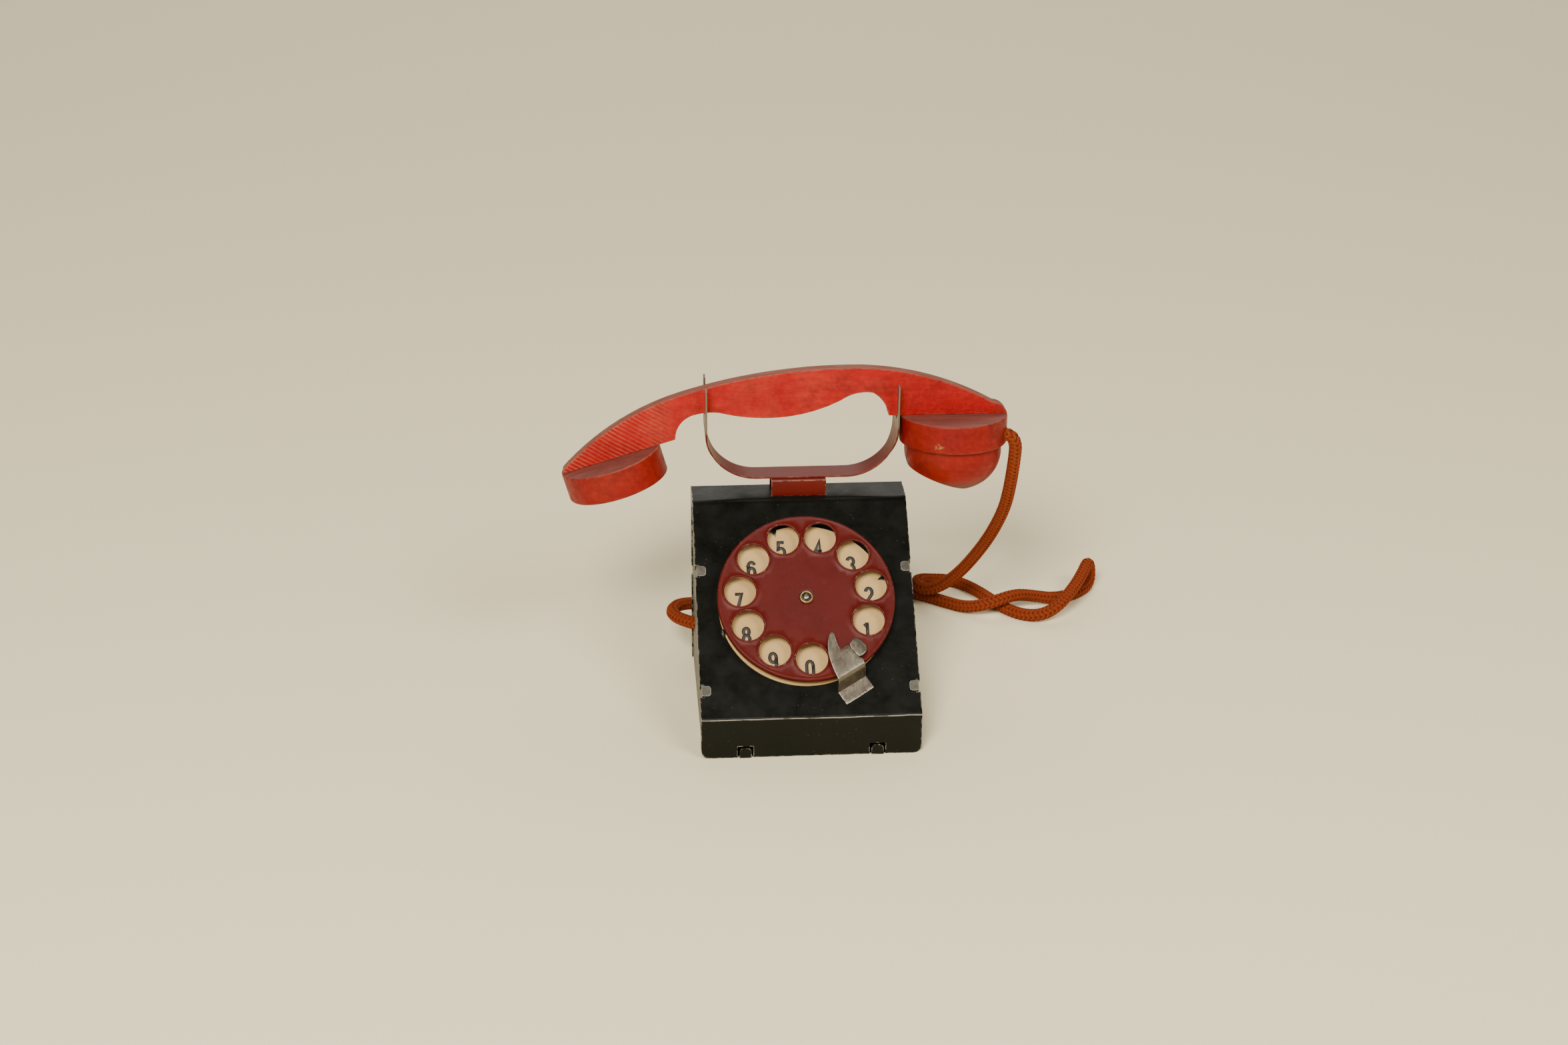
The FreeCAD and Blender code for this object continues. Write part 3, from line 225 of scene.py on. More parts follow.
def weave(points, step):
    """Vertices, faces and how far out each vertex lies, for all the strands and the core."""
    frames = moving_frames(points)
    vertices, faces, rise = [], [], []

    def add_ring_strip(rings, count):
        start = len(vertices) - rings * count
        for ring in range(rings - 1):
            for index in range(count):
                a = start + ring * count + index
                b = start + ring * count + (index + 1) % count
                faces.append((a, b, b + count, a + count))
        faces.append(tuple(start + index for index in reversed(range(count))))
        faces.append(tuple(start + (rings - 1) * count + index for index in range(count)))

    for way in (1, -1):
        for strand in range(STRANDS_EACH_WAY):
            for index, (point, (tangent, normal, side)) in enumerate(zip(points, frames)):
                angle = way * math.tau * index * step / BRAID_PITCH
                angle += math.tau * strand / STRANDS_EACH_WAY
                wave = math.tanh(1.8 * math.cos(4 * angle)) * way
                out = normal * math.cos(angle) + side * math.sin(angle)
                around = side * math.cos(angle) - normal * math.sin(angle)
                run = (tangent * BRAID_PITCH + around * way * math.tau * BRAID_RADIUS).normalized()
                across = out.cross(run)
                middle = point + out * (BRAID_RADIUS + BRAID_RISE * wave)
                for share, height in SECTION:
                    place = middle + across * (share * STRAND_HALF_WIDTH)
                    place += out * (height * STRAND_HALF_HEIGHT)
                    vertices.append(place)
                    rise.append(0.5 + 0.28 * wave + 0.22 * height)
            add_ring_strip(len(points), len(SECTION))
    # The core gets the lowest rise, so its finish paints it with the darkest painted shade.
    for point, (tangent, normal, side) in zip(points, frames):
        for index in range(CORE_SIDES):
            angle = math.tau * index / CORE_SIDES
            out = normal * math.cos(angle) + side * math.sin(angle)
            vertices.append(point + out * CORE_RADIUS)
            rise.append(0.0)
    add_ring_strip(len(points), CORE_SIDES)
    return vertices, faces, rise


def braided(name, points):
    """The woven piece along some points, with each vertex's rise stored for the painted shade of
    its finish.
    """
    vertices, faces, rise = weave(points, CORD_STEP)
    made = put_mesh(name, vertices, faces)
    made.data.attributes.new("rise", "FLOAT", "POINT").data.foreach_set("value", rise)
    return made


cord = braided("braided_cord", cord_points)
print("braid: %d faces" % len(cord.data.polygons))

# %% [markdown]
# ## The knot inside the body
# An overhand knot stops the cord from pulling out. A closed trefoil line has the same three
# crossings, and the same weave follows it at a slightly smaller size.

# %% Knot
def trefoil(centre, size, count=160):
    """A closed knotted line."""
    points = []
    for index in range(count + 1):
        t = math.tau * index / count
        reach = 2 + math.cos(3 * t)
        points.append(centre + Vector((math.sin(3 * t) * 1.2, reach * math.cos(2 * t),
                                       reach * math.sin(2 * t))) * size)
    return points


knot_low, knot_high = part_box("cord_knot")
knot_points, knot_length = even_steps(trefoil((knot_low + knot_high) / 2, 0.00125), CORD_STEP)
knot = braided("cord_end_knot", knot_points)
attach(knot, "base")
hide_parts("cord_knot")

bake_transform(cord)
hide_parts("cord_hanging", "cord_lying")
print("knot: %.1f mm of cord" % (knot_length / MM))

# %% [markdown]
# ## Floor and light
# The toy stands on a plain pale sweep. One large soft lamp in front and to the left gives its soft
# shadows, a weaker one fills from the right, and a wide one behind keeps the far floor pale. A dim
# sky overhead keeps the black enamel black.

# %% Studio
WARM_WHITE = (1.0, 0.95, 0.87)


def lamp(name, place, target, size, power):
    """A round soft lamp that faces a target."""
    data = bpy.data.lights.new(name, "AREA")
    data.shape, data.size, data.energy, data.color = "DISK", size, power, WARM_WHITE
    made = add_object(name, data)
    made.location = place
    made.rotation_mode = "QUATERNION"
    made.rotation_quaternion = (Vector(target) - Vector(place)).to_track_quat("-Z", "Y")


def studio_floor(half=5.0):
    floor = put_mesh("paper_floor", [(-half, -half, 0), (half, -half, 0), (half, half, 0),
                                     (-half, half, 0)], [(0, 1, 2, 3)])
    paint = bpy.data.materials.new("pale_paper")
    paint.use_nodes = True
    shader = paint.node_tree.nodes["Principled BSDF"]
    shader.inputs["Base Color"].default_value = (0.96, 0.87, 0.58, 1)
    shader.inputs["Roughness"].default_value = 0.9
    shader.inputs["Specular IOR Level"].default_value = 0.1
    floor.data.materials.append(paint)


studio_floor()
middle = (0.0, 0.03, 0.06)
lamp("key_softbox", (-0.42, -1.15, 1.15), middle, 0.6, 33)
lamp("fill_softbox", (0.75, -0.9, 1.3), middle, 0.7, 14)
lamp("far_wash", (0.1, 1.9, 1.7), (0.0, 1.3, 0.0), 2.2, 26)
world = bpy.data.worlds.new("studio_air")
world.use_nodes = True
bpy.context.scene.world = world
air = world.node_tree
back = air.nodes["Background"]
back.inputs["Strength"].default_value = 0.6
height = air.nodes.new("ShaderNodeSeparateXYZ")
ramp = air.nodes.new("ShaderNodeValToRGB")
coordinates = air.nodes.new("ShaderNodeTexCoord")
air.links.new(coordinates.outputs["Generated"], height.inputs[0])
air.links.new(height.outputs["Z"], ramp.inputs[0])
air.links.new(ramp.outputs[0], back.inputs["Color"])
low_sky, high_sky = ramp.color_ramp.elements
low_sky.position, low_sky.color = 0.1, (1.0, 0.93, 0.82, 1)
high_sky.position, high_sky.color = 0.75, (0.04, 0.038, 0.035, 1)

# %% [markdown]
# ## Effects that several finishes share
# Worn edges (on bare metal also a painted edge highlight), blotches, grain and small specks turn up
# on tin, steel and wood alike. Each is one shader node group, placed in every material that needs
# it with its own numbers. A group puts out masks only, so each material keeps its own shader.

# %% Helpers for node trees
FLOAT = "NodeSocketFloat"


def feed(tree, socket, value):
    """Sets a socket to a value, or links another node's output to it."""
    if isinstance(value, bpy.types.NodeSocket):
        tree.links.new(value, socket)
    elif isinstance(value, tuple) and len(value) == 3 and socket.type == "RGBA":
        socket.default_value = (*value, 1)
    else:
        socket.default_value = value


def math_node(tree, operation, first, second=0.0, clamp=False):
    made = tree.nodes.new("ShaderNodeMath")
    made.operation, made.use_clamp = operation, clamp
    feed(tree, made.inputs[0], first)
    feed(tree, made.inputs[1], second)
    return made.outputs[0]


def times(tree, product, *values):
    for value in values:
        product = math_node(tree, "MULTIPLY", product, value)
    return product


def vector_node(tree, operation, first, second, socket=1):
    made = tree.nodes.new("ShaderNodeVectorMath")
    made.operation = operation
    feed(tree, made.inputs[0], first)
    feed(tree, made.inputs[socket], second)
    return made.outputs


def spread(tree, value, low, high, to_low=0.0, to_high=1.0):
    """Maps low..high to another range, clamped."""
    made = tree.nodes.new("ShaderNodeMapRange")
    for index, number in enumerate((value, low, high, to_low, to_high)):
        feed(tree, made.inputs[index], number)
    return made.outputs[0]


def mixed(tree, mask, under, over):
    """One colour over another, by a mask."""
    made = tree.nodes.new("ShaderNodeMix")
    made.data_type = "RGBA"
    feed(tree, made.inputs[0], mask)
    feed(tree, made.inputs[6], under)
    feed(tree, made.inputs[7], over)
    return made.outputs[2]


def tinted(tree, under, mask, share, over):
    """One colour over another, by a share of a mask."""
    return mixed(tree, times(tree, mask, share), under, over)


def object_place(tree):
    return tree.nodes.new("ShaderNodeTexCoord").outputs["Object"]


def place_axes(tree):
    """The place on the object as its X, Y and Z."""
    split = tree.nodes.new("ShaderNodeSeparateXYZ")
    tree.links.new(object_place(tree), split.inputs[0])
    return split.outputs


def noise(tree, scale, detail=4.0, rough=0.55, where=None):
    made = tree.nodes.new("ShaderNodeTexNoise")
    tree.links.new(where or object_place(tree), made.inputs["Vector"])
    for title, value in (("Scale", scale), ("Detail", detail), ("Roughness", rough)):
        feed(tree, made.inputs[title], value)
    return made.outputs[0]


def new_group(name, inputs, outputs):
    group = bpy.data.node_groups.new(name, "ShaderNodeTree")
    for title, kind, value in inputs:
        socket = group.interface.new_socket(title, in_out="INPUT", socket_type=kind)
        socket.default_value = value
    for title in outputs:
        group.interface.new_socket(title, in_out="OUTPUT", socket_type=FLOAT)
    start = group.nodes.new("NodeGroupInput")
    end = group.nodes.new("NodeGroupOutput")
    return group, start.outputs, end.inputs


def place_group(tree, group, **values):
    made = tree.nodes.new("ShaderNodeGroup")
    made.node_tree = group
    for title, value in values.items():
        feed(tree, made.inputs[title], value)
    return made.outputs


# %% Worn edges and painted edge highlights
# A rounded normal differs from the true one only near an edge. That difference, broken up by
# noise, is where paint rubs off first, and on bare metal where a highlight is painted.
WEAR_AND_HIGHLIGHT, start, end = new_group("edge_wear_and_highlight", [("Reach", FLOAT, 0.0005), ("Patches", FLOAT, 400.0),
                                            ("Cover", FLOAT, 0.5)], ["Mask"])
rounded = WEAR_AND_HIGHLIGHT.nodes.new("ShaderNodeBevel")
rounded.samples = 4
WEAR_AND_HIGHLIGHT.links.new(start["Reach"], rounded.inputs["Radius"])
true_normal = WEAR_AND_HIGHLIGHT.nodes.new("ShaderNodeNewGeometry").outputs["Normal"]
likeness = vector_node(WEAR_AND_HIGHLIGHT, "DOT_PRODUCT", rounded.outputs[0], true_normal)["Value"]
edge = spread(WEAR_AND_HIGHLIGHT, math_node(WEAR_AND_HIGHLIGHT, "SUBTRACT", 1.0, likeness), 0.004, 0.06)
patch = noise(WEAR_AND_HIGHLIGHT, start["Patches"], 6.0, 0.65)
limit = math_node(WEAR_AND_HIGHLIGHT, "SUBTRACT", 1.0, start["Cover"])
bare = spread(WEAR_AND_HIGHLIGHT, math_node(WEAR_AND_HIGHLIGHT, "SUBTRACT", patch, limit), -0.05, 0.05)
feed(WEAR_AND_HIGHLIGHT, end["Mask"], times(WEAR_AND_HIGHLIGHT, edge, bare))


def edge_wear_and_highlight(tree, reach, patches, cover):
    return place_group(tree, WEAR_AND_HIGHLIGHT, Reach=reach, Patches=patches, Cover=cover)["Mask"]


# %% Blotches, specks and grain
BLOTCH, start, end = new_group("blotches", [("Scale", FLOAT, 60.0), ("From", FLOAT, 0.4),
                                            ("To", FLOAT, 0.65)], ["Mask"])
cloud = noise(BLOTCH, start["Scale"], 5.0, 0.6)
feed(BLOTCH, end["Mask"], spread(BLOTCH, cloud, start["From"], start["To"]))

SPECKS, start, end = new_group("specks", [("Scale", FLOAT, 900.0), ("Size", FLOAT, 0.12)], ["Mask"])
cells = SPECKS.nodes.new("ShaderNodeTexVoronoi")
SPECKS.links.new(object_place(SPECKS), cells.inputs["Vector"])
SPECKS.links.new(start["Scale"], cells.inputs["Scale"])
dots = math_node(SPECKS, "LESS_THAN", cells.outputs["Distance"], start["Size"])
some = spread(SPECKS, noise(SPECKS, 90.0, 2.0), 0.5, 0.56)
feed(SPECKS, end["Mask"], times(SPECKS, dots, some))

GRAIN, start, end = new_group("wood_grain", [("Stretch", "NodeSocketVector", (60, 900, 900)),
                                             ("Bend", FLOAT, 0.004)], ["Streaks", "Pores"])
wander = times(GRAIN, noise(GRAIN, 35.0, 2.0), start["Bend"])
shift = vector_node(GRAIN, "SCALE", (0.2, 1.0, 1.0), wander, "Scale")[0]
bent = vector_node(GRAIN, "ADD", object_place(GRAIN), shift)[0]
stretched = vector_node(GRAIN, "MULTIPLY", bent, start["Stretch"])[0]
feed(GRAIN, end["Streaks"], spread(GRAIN, noise(GRAIN, 1.0, 5.0, 0.6, stretched), 0.38, 0.66))
feed(GRAIN, end["Pores"], spread(GRAIN, noise(GRAIN, 4.0, 3.0, 0.7, stretched), 0.55, 0.75))
print("shared effects:", [group.name for group in bpy.data.node_groups])


def blotches(tree, scale, low=0.4, high=0.65):
    return place_group(tree, BLOTCH, Scale=scale, From=low, To=high)["Mask"]


def specks(tree, scale, size):
    return place_group(tree, SPECKS, Scale=scale, Size=size)["Mask"]


def wood_grain(tree, stretch, bend=0.0):
    return place_group(tree, GRAIN, Stretch=stretch, Bend=bend)


# %% [markdown]
# ## Paint on tin
# The body is stamped from tin plate and dipped in black enamel, and the dial and cradle in dark
# red. Enamel is a coat over metal: where it has rubbed away the plate shows, so bare places are
# metallic and the rest is not.

# %% Start and end of every finish
def new_finish(name):
    """A material with its tree and its shader."""
    paint = bpy.data.materials.new(name)
    paint.use_nodes = True
    tree = paint.node_tree
    return paint, tree, tree.nodes["Principled BSDF"]


def set_surface(tree, shader, colour, rough, metal=0.0, gloss=0.5, bump=None):
    """Feeds the shader its values and a bump of (height, strength, distance)."""
    for title, value in (("Base Color", colour), ("Roughness", rough), ("Metallic", metal),
                         ("Specular IOR Level", gloss)):
        feed(tree, shader.inputs[title], value)
    relief = tree.nodes.new("ShaderNodeBump")
    for title, value in zip(("Height", "Strength", "Distance"), bump):
        feed(tree, relief.inputs[title], value)
    tree.links.new(relief.outputs[0], shader.inputs["Normal"])


# %% Enamel
SKIRT_BEND_LEVEL = 0.0163
SKIRT_FRONT = -0.0385


def bend_line(tree):
    """Mask of a thin rubbed line along the skirt's bend, broken here and there."""
    place = place_axes(tree)
    wander = times(tree, noise(tree, 55.0, 3.0), 0.0009)
    height = math_node(tree, "SUBTRACT", math_node(tree, "ADD", place["Z"], wander),
                       SKIRT_BEND_LEVEL)
    line = spread(tree, math_node(tree, "ABSOLUTE", height), 0.00024, 0.00010)
    ahead = math_node(tree, "LESS_THAN", place["Y"], SKIRT_FRONT)
    broken = spread(tree, noise(tree, 170.0, 4.0), 0.36, 0.52, 0.25, 1.0)
    return times(tree, line, ahead, broken)


def enamel(name, colour, cloudy, bare_colour, rough, cover=0.5, reach=0.0006, speck_colour=None,
           bend=False, gloss=0.3):
    """Glossy enamel on tin, cloudy in places and worn to the plate along its edges."""
    paint, tree, shader = new_finish(name)
    worn = edge_wear_and_highlight(tree, reach, 500.0, cover)
    body = tinted(tree, colour, blotches(tree, 55.0), 0.7, cloudy)
    body = tinted(tree, body, blotches(tree, 700.0, 0.45, 0.7), 0.5, cloudy)
    if speck_colour:
        body = tinted(tree, body, specks(tree, 520.0, 0.08), 0.35, speck_colour)
    if bend:
        worn = math_node(tree, "MAXIMUM", worn, bend_line(tree))
    scuffs = noise(tree, 130.0, 8.0, 0.7)
    set_surface(tree, shader, mixed(tree, worn, body, bare_colour),
                spread(tree, scuffs, 0.3, 0.75, rough, rough + 0.22), times(tree, worn, 0.7),
                gloss, (noise(tree, 260.0, 3.0), 0.05, 0.0004))
    return paint


black_enamel = enamel("black_enamel", (0.0030, 0.0035, 0.0022), (0.006, 0.006, 0.004),
                      (0.42, 0.39, 0.33), 0.22, cover=0.47, speck_colour=(0.16, 0.15, 0.12),
                      bend=True, gloss=0.16)
dial_enamel = enamel("dial_enamel", (0.076, 0.0022, 0.0006), (0.100, 0.0055, 0.0018),
                     (0.30, 0.22, 0.18), 0.38, cover=0.42, reach=0.0004, gloss=0.22,
                     speck_colour=(0.42, 0.12, 0.08))
bracket_enamel = enamel("bracket_enamel", (0.13, 0.004, 0.001), (0.09, 0.004, 0.002),
                        (0.50, 0.20, 0.14), 0.28, cover=0.5)

# %% Streaky enamel of the cradle strip
FORK_TIPS = (0.1045, 0.1075)


def cradle_finish():
    """Dark red enamel, streaked along the strip and rubbed bare at the fork tips."""
    paint, tree, shader = new_finish("cradle_enamel")
    along = wood_grain(tree, (45.0, 1500.0, 45.0))["Streaks"]
    worn = times(tree, edge_wear_and_highlight(tree, 0.0007, 420.0, 0.47), 0.8)
    body = mixed(tree, along, (0.080, 0.007, 0.004), (0.150, 0.019, 0.010))
    body = mixed(tree, worn, body, (0.30, 0.13, 0.08))
    ragged = times(tree, noise(tree, 300.0, 3.0), 0.012)
    tips = spread(tree, math_node(tree, "ADD", place_axes(tree)["Z"], ragged), *FORK_TIPS)
    bare = math_node(tree, "MAXIMUM", worn, tips)
    set_surface(tree, shader, mixed(tree, tips, body, (0.20, 0.165, 0.13)),
                spread(tree, along, 0.0, 1.0, 0.34, 0.50), times(tree, bare, 0.75), 0.25,
                (along, 0.1, 0.0003))
    return paint


cradle_enamel = cradle_finish()

# %% [markdown]
# ## Bare metal
# The finger stop is uncoated steel with brown rust freckles, the tabs are bright tin, and the
# eyelet is dull brass. All are metal, so their colour is that of the reflection. Rust is not, so it
# cancels the metal where it grows.


# %% Metals
def bare_metal(name, colour, tarnish, rough, rust=0.0, brush=(700.0, 700.0, 700.0)):
    paint, tree, shader = new_finish(name)
    brushed = wood_grain(tree, brush)["Streaks"]
    body = mixed(tree, blotches(tree, 160.0, 0.35, 0.7), colour, tarnish)
    # Pale edges: partly the bright cut edge of the metal, partly a painted highlight along every
    # edge.
    body = tinted(tree, body, edge_wear_and_highlight(tree, 0.0004, 200.0, 0.7), 0.55, (0.60, 0.56, 0.49))
    spots, region = blotches(tree, 950.0, 0.56, 0.60), blotches(tree, 150.0, 0.46, 0.54)
    rusty = times(tree, spots, region, rust)
    gloss = spread(tree, brushed, 0.0, 1.0, rough, rough + 0.14)
    set_surface(tree, shader, mixed(tree, rusty, body, (0.075, 0.038, 0.020)),
                math_node(tree, "ADD", gloss, times(tree, rusty, 0.4)),
                math_node(tree, "SUBTRACT", 1.0, rusty, True), bump=(brushed, 0.08, 0.0002))
    return paint


stop_steel = bare_metal("freckled_steel", (0.215, 0.19, 0.148), (0.125, 0.105, 0.078), 0.36,
                        rust=0.95, brush=(900.0, 250.0, 250.0))
bright_tin = bare_metal("bright_tin", (0.15, 0.14, 0.115), (0.07, 0.065, 0.052), 0.42, rust=0.7)
works_steel = bare_metal("works_steel", (0.30, 0.28, 0.25), (0.20, 0.18, 0.155), 0.32, rust=0.6)
dull_brass = bare_metal("dull_brass", (0.34, 0.22, 0.085), (0.20, 0.125, 0.05), 0.33)
bell_plate = bare_metal("bell_plating", (0.75, 0.74, 0.71), (0.60, 0.58, 0.54), 0.12, rust=0.2)

# %% [markdown]
# ## Printed card
# The number card is cream pasteboard, gone tan at its edge. Its fibres show as faint blotches at
# two sizes.


# %% Card and ink
def paper(name, colour, aged, rough=0.85):
    paint, tree, shader = new_finish(name)
    fibre = blotches(tree, 1400.0, 0.4, 0.7)
    body = mixed(tree, blotches(tree, 70.0, 0.35, 0.7), colour, aged)
    body = tinted(tree, body, fibre, 0.3, aged)
    body = tinted(tree, body, specks(tree, 330.0, 0.09), 0.45, (0.15, 0.09, 0.05))
    set_surface(tree, shader, body, rough, bump=(fibre, 0.15, 0.0001))
    return paint


cream_card = paper("cream_card", (0.62, 0.41, 0.170), (0.52, 0.33, 0.125))
black_ink = paper("black_ink", (0.018, 0.017, 0.015), (0.035, 0.030, 0.025), 0.6)

# %% [markdown]
# ## Stained wood
# The handset is sawn and turned from one pale wood and dyed red. The dye sinks in unevenly: it is
# bright and blotchy on the board's faces, brownish pink on its edges, and more orange on the turned
# pieces. The saw left slanting lines on one end, paler where the dye was sanded off.

# %% Wood
RUBBED_PLACE = (0.0517, 0.0172, 0.0965)
RUBBED_REACH = 0.0026
SAWN_FROM, SAWN_TO = -0.047, -0.060


def facing(tree, direction, low, high):
    """Mask of the surface that faces along a direction, either way."""
    normal = tree.nodes.new("ShaderNodeTexCoord").outputs["Normal"]
    along = vector_node(tree, "DOT_PRODUCT", normal, direction)["Value"]
    return spread(tree, math_node(tree, "ABSOLUTE", along), low, high)


def turned_lines(tree):
    """Mask of thin lines that the turning tool left round a piece, level with its seat."""
    along = wood_grain(tree, (6.0, 6.0, 2400.0))["Pores"]
    return times(tree, along, blotches(tree, 70.0, 0.45, 0.6), 0.6)


def rubbed_patch(tree):
    """Mask of one small patch where the dye is rubbed through."""
    away = vector_node(tree, "DISTANCE", object_place(tree), RUBBED_PLACE)["Value"]
    near = spread(tree, away, RUBBED_REACH, RUBBED_REACH * 0.4)
    return times(tree, near, blotches(tree, 650.0, 0.50, 0.56))


def saw_lines(tree):
    """Mask of the slanting lines that the saw left at one end, uneven in strength."""
    place = place_axes(tree)
    slant = math_node(tree, "ADD", times(tree, place["X"], 0.50), times(tree, place["Z"], 0.87))
    wobble = times(tree, noise(tree, 60.0, 2.0), 0.0012)
    phase = times(tree, math_node(tree, "ADD", slant, wobble), 4300.0)
    teeth = spread(tree, math_node(tree, "SINE", phase), -0.2, 1.0)
    sawn = spread(tree, place["X"], SAWN_FROM, SAWN_TO)
    uneven = spread(tree, blotches(tree, 90.0, 0.40, 0.62), 0.0, 1.0, 0.35, 1.0)
    return times(tree, teeth, sawn, uneven)


def stained_wood(name, face, pale, dark, edge_colour, direction, saw=False, swap=False):
    """Dyed wood; the face colour shows where the surface looks along the direction."""
    paint, tree, shader = new_finish(name)
    grain = wood_grain(tree, (55.0, 420.0, 420.0), 0.006)
    streaks = height = grain["Streaks"]
    body = tinted(tree, face, blotches(tree, 42.0, 0.50, 0.66), 0.55, pale)
    body = tinted(tree, body, blotches(tree, 85.0, 0.50, 0.66), 0.6, dark)
    body = tinted(tree, body, streaks, 0.35, dark)
    body = tinted(tree, body, blotches(tree, 600.0, 0.45, 0.75), 0.3, pale)
    if saw:
        lines = saw_lines(tree)
        body = tinted(tree, body, lines, 0.55, (0.55, 0.14, 0.075))
        height = math_node(tree, "ADD", height, times(tree, lines, 3.0))
    end_body = mixed(tree, streaks, edge_colour, tuple(value * 0.72 for value in edge_colour))
    side = facing(tree, direction, 0.55, 0.8)
    if swap:
        side = math_node(tree, "SUBTRACT", 1.0, side)
    body = mixed(tree, side, end_body, body)
    body = tinted(tree, body, edge_wear_and_highlight(tree, 0.0007, 420.0, 0.5), 0.6, (0.46, 0.13, 0.07))
    if not saw:
        body = mixed(tree, turned_lines(tree), body, dark)
        body = mixed(tree, rubbed_patch(tree), body, (0.30, 0.13, 0.05))
    body = tinted(tree, body, grain["Pores"], 0.35, (0.10, 0.012, 0.010))
    set_surface(tree, shader, body, spread(tree, streaks, 0.0, 1.0, 0.40, 0.58), gloss=0.2,
                bump=(height, 0.35, 0.00012))
    return paint


lean = next(j for j in frame["joints"] if j["name"] == "handset_lift")["axis"]
board_face = (0.0, lean[2], -lean[1])
board_wood = stained_wood("board_wood", (0.345, 0.002, 0.003), (0.47, 0.040, 0.022),
                          (0.150, 0.001, 0.003), (0.26, 0.068, 0.040), board_face, saw=True)
turned_wood = stained_wood("turned_wood", (0.235, 0.0045, 0.0035), (0.33, 0.026, 0.009),
                           (0.095, 0.002, 0.003), (0.20, 0.060, 0.045), tuple(lean), swap=True)

# %% [markdown]
# ## Dyed cotton
# The braid's geometry gives its shape. The colour darkens where a strand dips, as painted shade,
# from the height that the weave stored, and fine noise along it stands for loose fibres.


# %% Cotton
def cotton():
    paint, tree, shader = new_finish("rust_cotton")
    rise = tree.nodes.new("ShaderNodeAttribute")
    rise.attribute_name = "rise"
    # Painted shade: the colour runs from near black in the dips and on the core to full colour on
    # the strand tops.
    top = spread(tree, rise.outputs["Fac"], 0.25, 0.95)
    fibre = noise(tree, 2600.0, 4.0, 0.7)
    body = mixed(tree, top, (0.040, 0.004, 0.001), (0.215, 0.030, 0.006))
    body = mixed(tree, spread(tree, fibre, 0.5, 0.75, 0.0, 0.45), body, (0.36, 0.09, 0.022))
    body = tinted(tree, body, blotches(tree, 40.0, 0.45, 0.7), 0.22, (0.22, 0.055, 0.015))
    feed(tree, shader.inputs["Sheen Weight"], 0.10)
    feed(tree, shader.inputs["Sheen Tint"], (0.9, 0.35, 0.12))
    set_surface(tree, shader, body, 0.92, gloss=0.15, bump=(fibre, 0.5, 0.00015))
    return paint


rust_cotton = cotton()
for piece in (cord, knot):
    piece.data.materials.append(rust_cotton)
print("finishes:", len(bpy.data.materials))

# %% [markdown]
# ## Softening what CAD left sharp
# Real sheet and wood never end in a perfect edge: the press, the saw or the paint leaves a small
# round that catches light. Most CAD parts have the right shape already, so a copy of each mesh gets
# its flat faces merged and its sharp edges bevelled. A bevel modifier would do the same, but here
# the finished mesh can be checked and measured.

# %% Softened copies
SHARP_ANGLE = 50
BEVEL_ANGLE = 32


def bevelled_mesh(node, width, segments=2):
    """A copy of a CAD node's mesh with its sharp edges rounded by a width."""
    bm = bmesh.new()
    bm.from_mesh(nodes[node].data)
    bmesh.ops.remove_doubles(bm, verts=bm.verts, dist=2e-6)
    bmesh.ops.dissolve_limit(bm, angle_limit=math.radians(0.4), verts=bm.verts, edges=bm.edges)
    sharp = [e for e in bm.edges if len(e.link_faces) == 2
             and e.calc_face_angle(0) > math.radians(BEVEL_ANGLE)]
    bmesh.ops.bevel(bm, geom=sharp, offset=width, offset_type="OFFSET", segments=segments,
                    profile=0.5, affect="EDGES", clamp_overlap=True)
    bmesh.ops.recalc_face_normals(bm, faces=bm.faces)
    return mesh_from(bm, node + "_soft", SHARP_ANGLE)


def even_shading(piece):
    """Keeps flat faces looking flat beside their rounded edges."""
    modifier = piece.modifiers.new("even_shading", "WEIGHTED_NORMAL")
    modifier.keep_sharp = True
    modifier.weight = 80


def thicken(piece, thickness, offset):
    """Gives a flat piece its thickness."""
    sheet = piece.modifiers.new("sheet", "SOLIDIFY")
    sheet.thickness, sheet.offset = thickness, offset


def dress(piece, paint, slot, body, *replaced):
    """Paints a piece and says which body it rides and which CAD nodes it replaces."""
    piece.data.materials.append(paint)
    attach(piece, body)
    if replaced:
        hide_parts(*replaced)
    return piece


def softened(name, node, width, paint, slot, body, segments=2):
    """Puts a rounded copy of a CAD node in its place."""
    piece = add_object(name, bevelled_mesh(node, width, segments))
    even_shading(piece)
    dress(piece, paint, slot, body, node)


# %% Tin body, panels and bottom
tin = 0.00012
softened("enamelled_body", "body_shell", tin, black_enamel, "black_enamel", "base")
for side in ("left", "right"):
    softened("tin_panel_" + side, "side_panel_" + side, tin, bright_tin, "bright_tin", "base")
softened("tin_bottom", "bottom_plate", tin, black_enamel, "bright_tin", "base")
print("tin body softened")

# %% [markdown]
# ## Places on the dial
# Everything on the sloping face turns about one axis, or is set out from it. A small frame at that
# axis, with one arm across the face, one up it and one out of it, lets the dial's pieces be drawn
# flat, as they would be on paper.

# %% Dial frame
dial_joint = next(j for j in frame["joints"] if j["name"] == "dial_spin")
outward = Vector(dial_joint["axis"]).normalized()
across = Vector((1, 0, 0))
up_face = outward.cross(across)
dial_axes = Matrix((across, up_face, outward)).transposed().to_4x4()
dial_frame = Matrix.Translation(dial_joint["pos_m"]) @ dial_axes
to_dial = dial_frame.inverted()


def dial_box(node):
    """Lowest and highest value of a node along each axis of the dial frame."""
    places = [to_dial @ vertex.co for vertex in nodes[node].data.vertices]
    return [(min(values), max(values)) for values in zip(*places)]


def dial_heights(node):
    """Lowest and highest level of a node above the sloping face."""
    return dial_box(node)[2]


